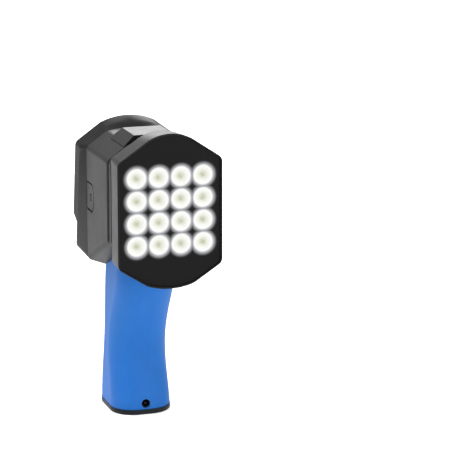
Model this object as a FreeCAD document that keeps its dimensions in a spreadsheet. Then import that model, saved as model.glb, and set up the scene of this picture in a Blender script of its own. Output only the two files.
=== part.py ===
import FreeCAD, Part
import os
import re
from dataclasses import dataclass, replace

import Sketcher
from FreeCAD import Placement, Rotation, Vector

# Hand-held flash lamp with sixteen lenses, a display hood at the back and a sleeved grip.
# Millimetres, +Z up. The origin is the mouth of the tripod bush under the grip, the lamp
# faces -Y, and left and right are as seen from in front of the lamp.
# Head pieces are drawn from the centre of the lens grid, with Y running back from its face.
# Display pieces are drawn on the tilted rear rim, seen from behind, with Z towards the viewer.

SIZES = {
    # Where the head and the display stand
    "head_height": 177.2, "face_reach": 95.5, "rim_reach": 120.5, "face_tilt": 8,
    # Fits: how far pieces stand apart, and how far a cut runs past a face or a root into one
    "seat_gap": 0.15, "loose_gap": 0.4, "screw_gap": 0.05, "screw_end_gap": 0.3, "run_over": 1,
    "least_corner": 1,
    # Lens grid
    "lens_count": 4, "lens_pitch": 17, "lens_radius": 7.5, "lens_depth": 8.1, "lens_sunk": 0.4,
    "lens_neck_radius": 4.2, "lens_lip": 1.6,
    "emitter_side": 3.4, "emitter_height": 1.2, "emitter_pocket_radius": 2.8, "emitter_pocket_depth": 1.6,
    # Front housing
    "bezel_half": 40.3, "bezel_side_top": 37.7, "bezel_shoulder_x": 20.6, "bezel_shoulder_z": 51,
    "bezel_crown": 58, "bezel_side_low": 41.8, "bezel_foot_x": 18.3, "bezel_foot_z": 56, "bezel_sole": 59.2,
    "bezel_corner": 6,
    "rim_proud": 1.2, "rim_width": 1.5, "rim_ease": 0.6, "plate_thickness": 3,
    "flange_depth": 26.5, "flange_round": 3.5, "flange_round_in": 2.1, "flange_draft": 2,
    "flange_wall": 4.8, "flange_back": 2.5,
    "collar_start": 33, "collar_end": 38.6, "collar_step": 1, "neck_wall": 2.2, "spigot_end": 46,
    "post_x": 30, "post_z": 36, "post_radius": 3,
    # Body shell
    "body_half": 37, "body_side_top": 31.5, "body_shoulder_x": 21.5, "body_shoulder_z": 42.5,
    "body_crown": 45, "body_foot_x": 21, "body_foot_drop": 6, "body_sole_drop": 1.2,
    "body_low_front": 32, "body_low_back": 57, "body_corner": 5,
    "body_front": 39.2, "body_back": 98, "body_ease": 1.8, "shell_wall": 2.5,
    "rail_top": -14, "rail_thickness": 2, "rail_reach": 4.5, "rail_start": 50, "rail_length": 30,
    # Top cover
    "cover_front": 41, "cover_back": 79, "cover_foot_half": 23.5, "cover_foot_z": 41.5,
    "cover_top_half": 15, "cover_top_z": 49.5, "cover_top_front": 42.5, "cover_top_back": 74,
    # Screw lugs
    "lug_half": 10, "lug_tip_rise": 5, "lug_thickness": 1.2, "lug_sunk": 0.2, "lug_gap": 0.1,
    "lug_clearance": 0.8, "lug_root_reach": 5,
    "front_lug_end": 46, "front_lug_z": 0.7, "front_lug_screw": 41,
    "rear_lug_end": 79, "rear_lug_z": -6, "rear_lug_screw": 87,
    "lug_screw_well": 2.8, "lug_head_radius": 2.4, "lug_head_height": 1.3, "lug_shank_radius": 1.3,
    "lug_shank_length": 7, "lug_boss_radius": 3.2, "lug_boss_depth": 4.5,
    # Rear housing
    "hood_half": 41, "hood_side_top": 32.5, "hood_shoulder_x": 21.5, "hood_shoulder_s": 47.2,
    "hood_crown": 52, "hood_side_low": 51, "hood_foot_x": 20, "hood_foot_s": 67, "hood_sole": 71.5,
    "hood_corner": 6,
    "hood_start": 98.5, "hood_band": 9, "hood_band_step": 1, "hood_wall": 2.4, "hood_ledge": 2.6,
    "hood_spigot_start": 82, "hood_mouth_lap": 0.5,
    "face_depth": 8, "lower_rim_proud": 0.5,
    "visor_end": 26, "visor_notch": 31, "visor_far": 90, "visor_overcut": 4,
    # Face panel, window and display
    "panel_thickness": 3.4, "window_half": 22.35, "window_top": 23.1, "window_low": 33, "window_border": 2.5,
    "window_thickness": 1.5, "module_thickness": 4, "module_border": 1.8, "board_thickness": 1.6,
    "display_board_half": 31.5, "display_board_side_top": 22, "display_board_shoulder_x": 24,
    "display_board_top": 29, "display_board_arch": 0.5, "display_board_side_low": 44,
    "display_board_foot_x": 16, "display_board_foot": 60, "display_board_sag": 1.5, "display_board_corner": 2,
    "display_post_x": 29.6, "display_post_top": 24, "display_post_low": 33.4, "display_post_radius": 3,
    "display_screw_head": 2.2, "display_screw_head_height": 1.6, "display_screw_shank": 1,
    "display_screw_length": 6,
    # Keys
    "keys_below": 50.3, "keys_half": 27.5, "keys_rise": 9.8, "key_split": 12.7, "key_gap": 1,
    "key_slope": 0.6, "key_proud": 0.6, "key_thickness": 5, "key_travel": 0.8, "key_blank_margin": 2,
    "key_stem_radius": 2, "key_stem_length": 2.3,
    "end_key_middle": 19.6, "side_key_middle": 8.4, "top_key_middle": 5.3,
    "key_frame_thickness": 1.2, "key_frame_border": 1.5, "key_frame_wall": 1.6,
    "switch_half": 2.6, "switch_clearance": 0.1,
    # Lamp board, heat sink and driver
    "lamp_board_thickness": 1.6, "sink_thickness": 4,
    "fin_count": 11, "fin_thickness": 1.5, "fin_pitch": 5.4, "fin_half": 28, "fin_end": 36,
    "lamp_screw_head": 2.4, "lamp_screw_head_height": 2, "lamp_screw_shank": 1.2, "lamp_screw_length": 8,
    "driver_half": 31.8, "driver_start": 47.5, "driver_length": 40,
    "capacitor_radius": 8, "capacitor_height": 25, "capacitor_x": 16, "capacitor_y": 60,
    "coil_radius": 8, "coil_height": 9, "coil_y": 77,
    # Grip: front and back faces and width at five heights
    "grip_foot_height": 4, "grip_foot_front": -28.8, "grip_foot_back": 30.2, "grip_foot_width": 47.4,
    "grip_heel_height": 17, "grip_heel_front": -27.2, "grip_heel_back": 30.3, "grip_heel_width": 46.8,
    "grip_hollow_height": 40, "grip_hollow_front": -21.3, "grip_hollow_back": 27.2, "grip_hollow_width": 46,
    "grip_middle_height": 74, "grip_middle_front": -26.7, "grip_middle_back": 21.8, "grip_middle_width": 46,
    "grip_top_height": 135, "grip_top_front": -34.2, "grip_top_back": 13.5, "grip_top_width": 43,
    "grip_corner": 18.5, "sleeve_wall": 2.2, "core_wall": 1.8,
    "upper_screw_y": -6, "upper_screw_z": 103, "lower_screw_y": 11, "lower_screw_z": 19,
    "grip_post_radius": 3.4, "grip_post_length": 19.9, "grip_screw_shank": 1.3, "grip_screw_head": 2.5,
    "grip_screw_head_height": 2, "grip_screw_seat": 14, "grip_screw_tip": 10, "grip_screw_lead": 4,
    # Bottom cap and tripod bush
    "cap_width": 48.2, "cap_front": -29.6, "cap_back": 30.6, "cap_corner": 18.9, "cap_chamfer": 0.8,
    "cap_boss_radius": 7.4, "cap_boss_height": 10,
    "cap_rail_half": 12, "cap_rail_inner": 15.4, "cap_rail_outer": 19, "cap_rail_height": 3,
    "bush_radius": 5, "bush_flange_radius": 6.2, "bush_flange": 1, "thread_radius": 2.55,
    "cap_screw_x": 14, "cap_screw_head": 2.6, "cap_screw_head_depth": 2.4, "cap_screw_head_height": 1.8,
    "cap_screw_shank": 1.25, "cap_screw_length": 14,
    "cap_block_inner": 10.6, "cap_block_half": 3.6, "cap_block_base": 7.2, "cap_block_height": 13.6,
    # Charging socket
    "socket_height": 8.5, "socket_hole": 3.5, "socket_hole_lead": 5, "socket_hole_depth": 8,
    "socket_nose": 3.3, "socket_body": 4.2, "socket_front": -26.6, "socket_shoulder": -23, "socket_end": -12,
    "socket_bore": 2.75, "socket_bore_depth": 9, "socket_pin": 1,
    # Battery
    "cell_radius": 9.1, "cell_length": 65, "cell_gap": 0.2, "cell_base": 24, "cell_y": 6, "grip_lean": 8.7,
    "cell_button_radius": 2.8, "cell_button": 1,
    "holder_plate": 1.5, "holder_width": 36, "holder_depth": 37, "holder_corner": 14,
    "holder_wall_half": 13, "holder_wall": 1.5, "strip_half": 3, "strip_reach": 18.2, "strip_thickness": 0.3,
}

doc = FreeCAD.newDocument("flash_lamp")
sheet = doc.addObject("Spreadsheet::Sheet", "Sizes")
for row, (alias, size) in enumerate(SIZES.items(), start=1):
    sheet.set(f"A{row}", alias)
    sheet.set(f"B{row}", str(size))
    sheet.setAlias(f"B{row}", alias)
doc.recompute()

LENS_BACK = "(lens_sunk + lens_depth)"
BOARD_BACK = f"({LENS_BACK} + lamp_board_thickness)"
SINK_BACK = f"({BOARD_BACK} + sink_thickness)"
FLANGE_INSIDE = "(flange_depth - flange_back)"
LUG_SEAT = "(body_half - lug_sunk - lug_thickness - lug_gap)"
NECK_INSIDE = "(body_half - shell_wall - seat_gap - neck_wall)"
PANEL_BACK = "(face_depth + panel_thickness)"
DISPLAY_BOARD_TOP = f"({PANEL_BACK} + window_thickness + module_thickness)"
OUTSIDE = "(body_half + run_over)"
KEY_UNDERSIDE = "(face_depth - key_proud + key_thickness)"
KEY_FRAME_TOP = f"({KEY_UNDERSIDE} + key_travel + switch_clearance)"
SWITCH_TOP = f"({KEY_UNDERSIDE} + key_stem_length + key_travel + switch_clearance)"
POST_PLACES = [(across, up) for across in ("post_x", "-post_x") for up in ("post_z", "-post_z")]

GRIP_SCREWS = [("upper_screw_y", "upper_screw_z"), ("lower_screw_y", "lower_screw_z")]
DISPLAY_POSTS = [(across, up) for across in ("display_post_x", "-display_post_x")
                 for up in ("display_post_top", "-display_post_low")]
TOLERANCE = 0.001

parts = []


def linked(text):
    """The expression text with each size name pointed at the sheet."""
    return re.sub(r"[a-z_]+", lambda word: f"Sizes.{word[0]}" if word[0] in SIZES else word[0], text)


def size(text):
    """What an expression is worth now."""
    found = sheet.evalExpression(linked(text))
    return float(getattr(found, "Value", found))


def bind(feature, **properties):
    """Ties properties to expressions; a double underscore in a name stands for a dot."""
    for name, text in properties.items():
        feature.setExpression(name.replace("__", "."), linked(text))


def new_body(name):
    """A body for one sub-part, which is written out under this name."""
    body = doc.addObject("PartDesign::Body", name)
    body.Label = name
    parts.append(body)
    return body


def head_body(name):
    """A body drawn from the centre of the lens grid."""
    body = new_body(name)
    bind(body, Placement__Base__y="-face_reach", Placement__Base__z="head_height")
    return body


def display_body(name):
    """A body drawn on the tilted rim plane, seen from behind."""
    body = new_body(name)
    bind(body, Placement__Rotation__Angle="180 deg",
         Placement__Rotation__Axis__y="sin(45 deg - face_tilt * 1 deg / 2)",
         Placement__Rotation__Axis__z="cos(45 deg - face_tilt * 1 deg / 2)",
         Placement__Base__y="rim_reach - face_reach", Placement__Base__z="head_height")
    return body


def sketch_on(body, role, name, offset="0"):
    """A sketch on one of the body's own planes, moved along the plane's normal."""
    sketch = body.newObject("Sketcher::SketchObject", name)
    plane = next(feature for feature in body.Origin.OriginFeatures if feature.Role == role)
    sketch.AttachmentSupport = (plane, [""])
    sketch.MapMode = "FlatFace"
    bind(sketch, AttachmentOffset__Base__z=offset)
    return sketch


def front_sketch(body, name, back="0"):
    """A sketch across the head, this far behind the lens face."""
    return sketch_on(body, "XZ_Plane", name, f"-({back})")


def level_sketch(body, name, height="0"):
    """A level sketch at this height, or one parallel to the display's rim."""
    return sketch_on(body, "XY_Plane", name, height)


def side_sketch(body, name, across="0"):
    """A sketch seen from the side, this far to the right of the middle."""
    return sketch_on(body, "YZ_Plane", name, across)


def rim_sketch(body, name, inward, row=False):
    """A sketch across the head that is tilted like the rear rim and lies this far inside it."""
    sketch = front_sketch(body, name)
    sketch.AttachmentOffset = Placement(Vector(), Rotation(Vector(1, 0, 0), size("face_tilt")))
    rise, reach = ("head_height", "rim_reach - face_reach") if row else ("0", "rim_reach")
    bind(sketch, AttachmentOffset__Rotation__Angle="face_tilt * 1 deg",
         AttachmentOffset__Base__y=f"{rise} - ({inward}) * sin(face_tilt * 1 deg)",
         AttachmentOffset__Base__z=f"-({reach}) + ({inward}) * cos(face_tilt * 1 deg)")
    return sketch


def constrain(sketch, kind, *where, text):
    """Adds a sketch dimension and ties it to an expression."""
    number = sketch.addConstraint(Sketcher.Constraint(kind, *where, size(text)))
    name = f"length_{len(sketch.ExpressionEngine)}"
    sketch.renameConstraint(number, name)
    sketch.setExpression(f"Constraints.{name}", linked(text))


def place(sketch, edge, end, point):
    """Fixes one end of an edge at a point given by two expressions."""
    constrain(sketch, "DistanceX", -1, 1, edge, end, text=point[0])
    constrain(sketch, "DistanceY", -1, 1, edge, end, text=point[1])


def meet(sketch, edge, end, other, other_end):
    """Joins an end of one edge to an end of another."""
    sketch.addConstraint(Sketcher.Constraint("Coincident", edge, end, other, other_end))


def ends(sketch, edge, start):
    """The numbers of an edge's first and last ends, whichever way its curve runs."""
    return (1, 2) if (sketch.Geometry[edge].StartPoint - start).Length < TOLERANCE else (2, 1)


def closed_outline(sketch, points, crowns=None):
    """Lines through the points in turn; an edge in crowns is an arc that peaks at that height."""
    crowns = crowns or {}
    first = sketch.GeometryCount
    spots = [Vector(size(x), size(y), 0) for x, y in points]
    for index, spot in enumerate(spots):
        after = spots[(index + 1) % len(spots)]
        if index in crowns:
            peak = Vector((spot.x + after.x) / 2, size(crowns[index]), 0)
            sketch.addGeometry(Part.Arc(spot, peak, after), False)
        else:
            sketch.addGeometry(Part.LineSegment(spot, after), False)
    joints = [ends(sketch, first + index, spot) for index, spot in enumerate(spots)]
    for index, point in enumerate(points):
        after = (index + 1) % len(points)
        meet(sketch, first + index, joints[index][1], first + after, joints[after][0])
        place(sketch, first + index, joints[index][0], point)
    for index, peak in crowns.items():
        (x, y), (after_x, _) = points[index], points[(index + 1) % len(points)]
        half, rise = f"(({after_x}) - ({x})) / 2", f"abs(({peak}) - ({y}))"
        constrain(sketch, "Radius", first + index, text=f"(({half}) ^ 2 + {rise} ^ 2) / (2 * {rise})")
    return first


def rounded(sketch, edge, end, radius):
    """Rounds the corner at one end of an edge."""
    sketch.fillet(edge, end, size(radius), True, True)
    arcs = [index for index, curve in enumerate(sketch.Geometry) if isinstance(curve, Part.ArcOfCircle)]
    constrain(sketch, "Radius", arcs[-1], text=radius)


def rectangle(sketch, left, right, low, high, radius=None):
    """A rectangle between four expressions, with rounded corners where a radius is given."""
    first = closed_outline(sketch, [(left, low), (right, low), (right, high), (left, high)])
    if radius:
        for edge in (first, first + 2):
            for end in (1, 2):
                rounded(sketch, edge, end, radius)


def circle(sketch, x, y, radius):
    """A circle whose centre and radius are expressions."""
    edge = sketch.GeometryCount
    sketch.addGeometry(Part.Circle(Vector(size(x), size(y), 0), Vector(0, 0, 1), size(radius)), False)
    place(sketch, edge, 3, (x, y))
    constrain(sketch, "Radius", edge, text=radius)


@dataclass(frozen=True)
class HeadOutline:
    """The head's cross-section: upright sides, sloping shoulders and feet, arched top and bottom."""

    half: str
    side_top: str
    shoulder_x: str
    shoulder: str
    crown: str
    side_low: str
    foot_x: str
    foot: str
    sole: str
    corner: str

    def grown(self, by):
        """The same outline moved outwards, or inwards where the amount is negative."""
        return replace(self, half=f"{self.half} + ({by})", shoulder=f"{self.shoulder} + ({by})",
                       crown=f"{self.crown} + ({by})", foot=f"{self.foot} + ({by})",
                       sole=f"{self.sole} + ({by})",
                       corner=f"max({self.corner} + ({by}); least_corner)")

    def draw(self, sketch):
        """Draws the outline, with rounded corners where the sides end."""
        low, foot = f"-({self.side_low})", f"-({self.foot})"
        points = [(self.half, low), (self.half, self.side_top), (self.shoulder_x, self.shoulder),
                  (f"-{self.shoulder_x}", self.shoulder), (f"-({self.half})", self.side_top),
                  (f"-({self.half})", low), (f"-{self.foot_x}", foot), (self.foot_x, foot)]
        first = closed_outline(sketch, points, {2: self.crown, 6: f"-({self.sole})"})
        for edge in (first, first + 4):
            for end in (1, 2):
                rounded(sketch, edge, end, self.corner)
        return sketch


BEZEL = HeadOutline("bezel_half", "bezel_side_top", "bezel_shoulder_x", "bezel_shoulder_z", "bezel_crown",
                    "bezel_side_low", "bezel_foot_x", "bezel_foot_z", "bezel_sole", "bezel_corner")
HOOD = HeadOutline("hood_half", "hood_side_top", "hood_shoulder_x", "hood_shoulder_s", "hood_crown",
                   "hood_side_low", "hood_foot_x", "hood_foot_s", "hood_sole", "hood_corner")


def body_outline(low):
    """The body shell's cross-section where its sides end this far below the lens axis."""
    foot = f"{low} + body_foot_drop"
    return HeadOutline("body_half", "body_side_top", "body_shoulder_x", "body_shoulder_z", "body_crown", low,
                       "body_foot_x", foot, f"{foot} + body_sole_drop", "body_corner")


BODY_FRONT = body_outline("body_low_front")
BODY_BACK = body_outline("body_low_back")
BODY_SLOPE = "((body_low_back - body_low_front) / (body_back - body_front - body_ease))"
SPIGOT_FRONT = body_outline(f"(body_low_back - {BODY_SLOPE} * (body_back - hood_spigot_start))")


def pad(body, sketch, length, backwards=False):
    """Adds the sketch's area, along its normal or against it."""
    feature = body.newObject("PartDesign::Pad", f"{sketch.Label}_pad")
    feature.Profile = sketch
    feature.Reversed = backwards
    bind(feature, Length=length)
    return feature


def pocket(body, sketch, depth, backwards=False):
    """Cuts the sketch's area away, against its normal or along it, and checks that it cut."""
    before = body.Shape.Volume
    feature = body.newObject("PartDesign::Pocket", f"{sketch.Label}_pocket")
    feature.Profile = sketch
    feature.Reversed = backwards
    bind(feature, Length=depth)
    doc.recompute()
    if body.Shape.Volume > before - TOLERANCE:
        raise RuntimeError(f"{feature.Label} cuts nothing")
    return feature


def loft(body, sections, cut=False, ruled=True):
    """Joins sections into a solid, which is added or cut away."""
    kind = "PartDesign::SubtractiveLoft" if cut else "PartDesign::AdditiveLoft"
    feature = body.newObject(kind, f"{sections[0].Label}_loft")
    feature.Profile = sections[0]
    feature.Sections = sections[1:]
    feature.Ruled = ruled
    doc.recompute()
    return feature


def turned(body, sketch):
    """Turns a profile about the sketch's upright axis."""
    feature = body.newObject("PartDesign::Revolution", f"{sketch.Label}_turn")
    feature.Profile = sketch
    feature.ReferenceAxis = (sketch, ["V_Axis"])
    feature.Angle = 360
    return feature


def lug_outline(sketch, root, end, middle, margin="0"):
    """A tab seen from the side: straight along its length, round at its free end."""
    radius = f"lug_half + {margin}"
    forward = size(end) < size(root)
    bend = f"({end}) + lug_tip_rise" if forward else f"({end}) - lug_tip_rise"
    top, low = f"({middle}) + {radius}", f"({middle}) - ({radius})"
    first = sketch.GeometryCount
    corners = [(root, low), (bend, low), (bend, top), (root, top)]
    if forward:
        corners.reverse()
    spots = [Vector(size(x), size(y), 0) for x, y in corners]
    tip = Vector(size(end) + size(margin) * (-1 if forward else 1), size(middle), 0)
    for index in range(4):
        start, stop = spots[index], spots[(index + 1) % 4]
        sketch.addGeometry(Part.Arc(start, tip, stop) if index == 1 else Part.LineSegment(start, stop), False)
    joints = [ends(sketch, first + index, spot) for index, spot in enumerate(spots)]
    for index, corner in enumerate(corners):
        after = (index + 1) % 4
        meet(sketch, first + index, joints[index][1], first + after, joints[after][0])
        place(sketch, first + index, joints[index][0], corner)
    rise = f"(lug_tip_rise + {margin})"
    constrain(sketch, "Radius", first + 1, text=f"(({radius}) ^ 2 + {rise} ^ 2) / (2 * {rise})")
    return sketch


def sleeve_section(body, name, station, inset):
    """A level section of the grip at a named height, drawn this far inside its surface."""
    sketch = level_sketch(body, f"{name}_{station}", f"grip_{station}_height")
    half = f"(grip_{station}_width / 2 - ({inset}))"
    rectangle(sketch, f"-{half}", half, f"grip_{station}_front + ({inset})",
              f"grip_{station}_back - ({inset})", f"grip_corner - ({inset})")
    return sketch


def grip_loft(body, name, inset, cut=False):
    """The grip's curved form through its five sections."""
    stations = ("foot", "heel", "hollow", "middle", "top")
    return loft(body, [sleeve_section(body, name, station, inset) for station in stations], cut, ruled=False)


def in_row(text):
    """A distance behind the lens face, measured from the tripod axis instead."""
    return f"({text}) - face_reach"


def body_sections(body, name, grow, row=False, ease="body_ease / 2"):
    """The body shell's sections: eased at its front edge, then widening down to the back."""
    spots = [("body_front", BODY_FRONT.grown(f"{grow} - {ease}")),
             ("body_front + body_ease", BODY_FRONT.grown(grow)), ("body_back", BODY_BACK.grown(grow))]
    sections = []
    for index, (back, outline) in enumerate(spots):
        sketch = front_sketch(body, f"{name}_{index}", in_row(back) if row else back)
        if row:
            bind(sketch, AttachmentOffset__Base__y="head_height")
        sections.append(outline.draw(sketch))
    return sections


def hood_sections(body, name, grow="0", row=False):
    """The rear housing's outer sections: the body shell's end, a flared band and the tilted rim."""
    start = front_sketch(body, f"{name}_start", in_row("body_back") if row else "hood_start")
    if row:
        bind(start, AttachmentOffset__Base__y="head_height")
    return [BODY_BACK.grown(grow).draw(start),
            HOOD.grown(f"{grow} - hood_band_step").draw(rim_sketch(body, f"{name}_band", "hood_band", row)),
            HOOD.grown(grow).draw(rim_sketch(body, f"{name}_rim", "0", row))]


def front_housing():
    """The lamp's flange, its hollow, and the grooved neck that the body shell closes on."""
    body = head_body("front_housing")
    stations = [("-rim_proud", "-rim_ease"), ("-rim_proud + rim_ease", "0"),
                ("flange_depth - flange_round", "-flange_draft"),
                ("flange_depth", "-flange_draft - flange_round_in")]
    loft(body, [BEZEL.grown(grow).draw(front_sketch(body, f"flange_{index}", back))
                for index, (back, grow) in enumerate(stations)])
    neck = BODY_FRONT.grown("-shell_wall - seat_gap").draw(front_sketch(body, "neck", "flange_depth"))
    pad(body, neck, "spigot_end - flange_depth", backwards=True)
    collar = BODY_FRONT.grown("-collar_step").draw(front_sketch(body, "collar", "collar_start"))
    pad(body, collar, "collar_end - collar_start", backwards=True)
    lug = lug_outline(side_sketch(body, "lug", "body_half - lug_thickness - lug_sunk"),
                      "flange_depth - run_over", "front_lug_end", "front_lug_z")
    pad(body, lug, "lug_thickness")
    doc.recompute()
    recess = BEZEL.grown("-rim_width").draw(front_sketch(body, "plate_recess", "-rim_proud - run_over"))
    pocket(body, recess, "plate_thickness + rim_proud + run_over")
    hollow = BEZEL.grown("-flange_wall").draw(front_sketch(body, "hollow"))
    pocket(body, hollow, FLANGE_INSIDE)
    bore = BODY_FRONT.grown("-shell_wall - seat_gap - neck_wall").draw(front_sketch(body, "bore"))
    pocket(body, bore, "spigot_end + run_over")
    posts = front_sketch(body, "posts", SINK_BACK)
    holes = front_sketch(body, "post_holes", SINK_BACK)
    for across, up in POST_PLACES:
        circle(posts, across, up, "post_radius")
        circle(holes, across, up, "lamp_screw_shank + screw_gap")
    pad(body, posts, f"{FLANGE_INSIDE} - {SINK_BACK}", backwards=True)
    doc.recompute()
    pocket(body, holes, "lamp_screw_length")
    lug_fixing(body, "front_lug_screw", "front_lug_z", 1)


def lug_fixing(body, back, up, side):
    """The screw boss inside a neck, and the well and hole through the lug over it."""
    inside = NECK_INSIDE if side > 0 else f"-{NECK_INSIDE}"
    outside = OUTSIDE if side > 0 else f"-{OUTSIDE}"
    boss = side_sketch(body, "lug_boss", inside)
    circle(boss, back, up, "lug_boss_radius")
    pad(body, boss, "lug_boss_depth", backwards=side > 0)
    doc.recompute()
    well = side_sketch(body, "lug_well", outside)
    circle(well, back, up, "lug_screw_well")
    pocket(body, well, f"{OUTSIDE} - {LUG_SEAT}", backwards=side < 0)
    hole = side_sketch(body, "lug_hole", outside)
    circle(hole, back, up, "lug_shank_radius + screw_gap")
    pocket(body, hole, f"{OUTSIDE} - {LUG_SEAT} + lug_shank_length + screw_end_gap", backwards=side < 0)


def lug_screw(name, back, up, side):
    """A screw whose head lies in a lug's well and bears on the body shell."""
    body = head_body(name)
    seat = LUG_SEAT if side > 0 else f"-{LUG_SEAT}"
    head = side_sketch(body, "head", seat)
    circle(head, back, up, "lug_head_radius")
    pad(body, head, "lug_head_height", backwards=side < 0)
    shank = side_sketch(body, "shank", seat)
    circle(shank, back, up, "lug_shank_radius")
    pad(body, shank, "lug_shank_length", backwards=side > 0)


def lens_places():
    """The places of the lenses across the face, row by row from the top left."""
    count = int(SIZES["lens_count"])
    middle = "(lens_count - 1) / 2"
    return [(f"({column} - {middle}) * lens_pitch", f"({middle} - {row}) * lens_pitch")
            for row in range(count) for column in range(count)]


def led_plate():
    """The dark plate that shows the lenses."""
    body = head_body("led_plate")
    plate = BEZEL.grown("-rim_width - seat_gap").draw(front_sketch(body, "plate"))
    pad(body, plate, "plate_thickness", backwards=True)
    doc.recompute()
    holes = front_sketch(body, "lens_holes")
    for across, up in lens_places():
        circle(holes, across, up, "lens_radius + seat_gap")
    pocket(body, holes, "plate_thickness + run_over")


def lenses():
    """Clear lenses: a round face, a narrowing back and a pocket for the light source."""
    for number, (across, up) in enumerate(lens_places(), start=1):
        body = new_body(f"led_lens_{number:02d}")
        bind(body, Placement__Base__x=across, Placement__Base__y="-face_reach",
             Placement__Base__z=f"head_height + {up}")
        profile = level_sketch(body, "profile")
        pocket_floor = f"{LENS_BACK} - emitter_pocket_depth"
        closed_outline(profile, [("0", "lens_sunk"), ("lens_radius", "lens_sunk"),
                                 ("lens_radius", "lens_sunk + lens_lip"), ("lens_neck_radius", LENS_BACK),
                                 ("emitter_pocket_radius", LENS_BACK),
                                 ("emitter_pocket_radius", pocket_floor), ("0", pocket_floor)])
        turned(body, profile)


def lamp_board():
    """The metal-backed board with its light sources."""
    body = head_body("led_board")
    pad(body, BEZEL.grown("-flange_wall - loose_gap").draw(front_sketch(body, "board", LENS_BACK)),
        "lamp_board_thickness", backwards=True)
    doc.recompute()
    holes = front_sketch(body, "screw_holes", LENS_BACK)
    for across, up in POST_PLACES:
        circle(holes, across, up, "lamp_screw_shank + screw_gap")
    pocket(body, holes, "lamp_board_thickness + run_over")
    body = head_body("led_emitters")
    squares = front_sketch(body, "squares", f"{LENS_BACK} - emitter_height")
    for across, up in lens_places():
        rectangle(squares, f"{across} - emitter_side / 2", f"{across} + emitter_side / 2",
                  f"{up} - emitter_side / 2", f"{up} + emitter_side / 2")
    pad(body, squares, "emitter_height", backwards=True)


def heat_sink():
    """The finned block behind the lamp board, which stands on the front housing's posts."""
    body = head_body("heat_sink")
    base = BEZEL.grown("-flange_wall - loose_gap").draw(front_sketch(body, "base", BOARD_BACK))
    pad(body, base, "sink_thickness", backwards=True)
    first = front_sketch(body, "fin", SINK_BACK)
    left = "-(fin_count - 1) / 2 * fin_pitch"
    rectangle(first, f"{left} - fin_thickness / 2", f"{left} + fin_thickness / 2", "-fin_half", "fin_half")
    fin = pad(body, first, f"fin_end - {SINK_BACK}", backwards=True)
    doc.recompute()
    fins = body.newObject("PartDesign::LinearPattern", "fins")
    fins.Originals = [fin]
    fins.Direction = (first, ["H_Axis"])
    bind(fins, Length="(fin_count - 1) * fin_pitch", Occurrences="fin_count")
    body.Tip = fins
    doc.recompute()
    holes = front_sketch(body, "screw_holes", BOARD_BACK)
    for across, up in POST_PLACES:
        circle(holes, across, up, "lamp_screw_shank + screw_gap")
    pocket(body, holes, "sink_thickness + run_over")
    body = head_body("led_board_screws")
    heads = front_sketch(body, "heads", LENS_BACK)
    shanks = front_sketch(body, "shanks", LENS_BACK)
    for across, up in POST_PLACES:
        circle(heads, across, up, "lamp_screw_head")
        circle(shanks, across, up, "lamp_screw_shank")
    pad(body, heads, "lamp_screw_head_height")
    pad(body, shanks, "lamp_board_thickness + sink_thickness + lamp_screw_length - screw_end_gap",
        backwards=True)


def driver():
    """The driver board on the body shell's rails, with its tall parts."""
    body = head_body("driver_board")
    board = level_sketch(body, "board", "rail_top")
    rectangle(board, "-driver_half", "driver_half", "driver_start", "driver_start + driver_length")
    pad(body, board, "board_thickness")
    body = head_body("driver_parts")
    cans = level_sketch(body, "capacitors", "rail_top + board_thickness")
    for across in ("capacitor_x", "-capacitor_x"):
        circle(cans, across, "capacitor_y", "capacitor_radius")
    pad(body, cans, "capacitor_height")
    coil = level_sketch(body, "coil", "rail_top + board_thickness")
    circle(coil, "0", "coil_y", "coil_radius")
    pad(body, coil, "coil_height")


def top_cover():
    """The raised block that closes the body shell's top seam."""
    body = head_body("top_cover")
    foot = level_sketch(body, "foot", "cover_foot_z")
    rectangle(foot, "-cover_foot_half", "cover_foot_half", "cover_front", "cover_back")
    top = level_sketch(body, "top", "cover_top_z")
    rectangle(top, "-cover_top_half", "cover_top_half", "cover_top_front", "cover_top_back")
    loft(body, [foot, top])
    loft(body, body_sections(body, "shell", "0"), cut=True)


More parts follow.
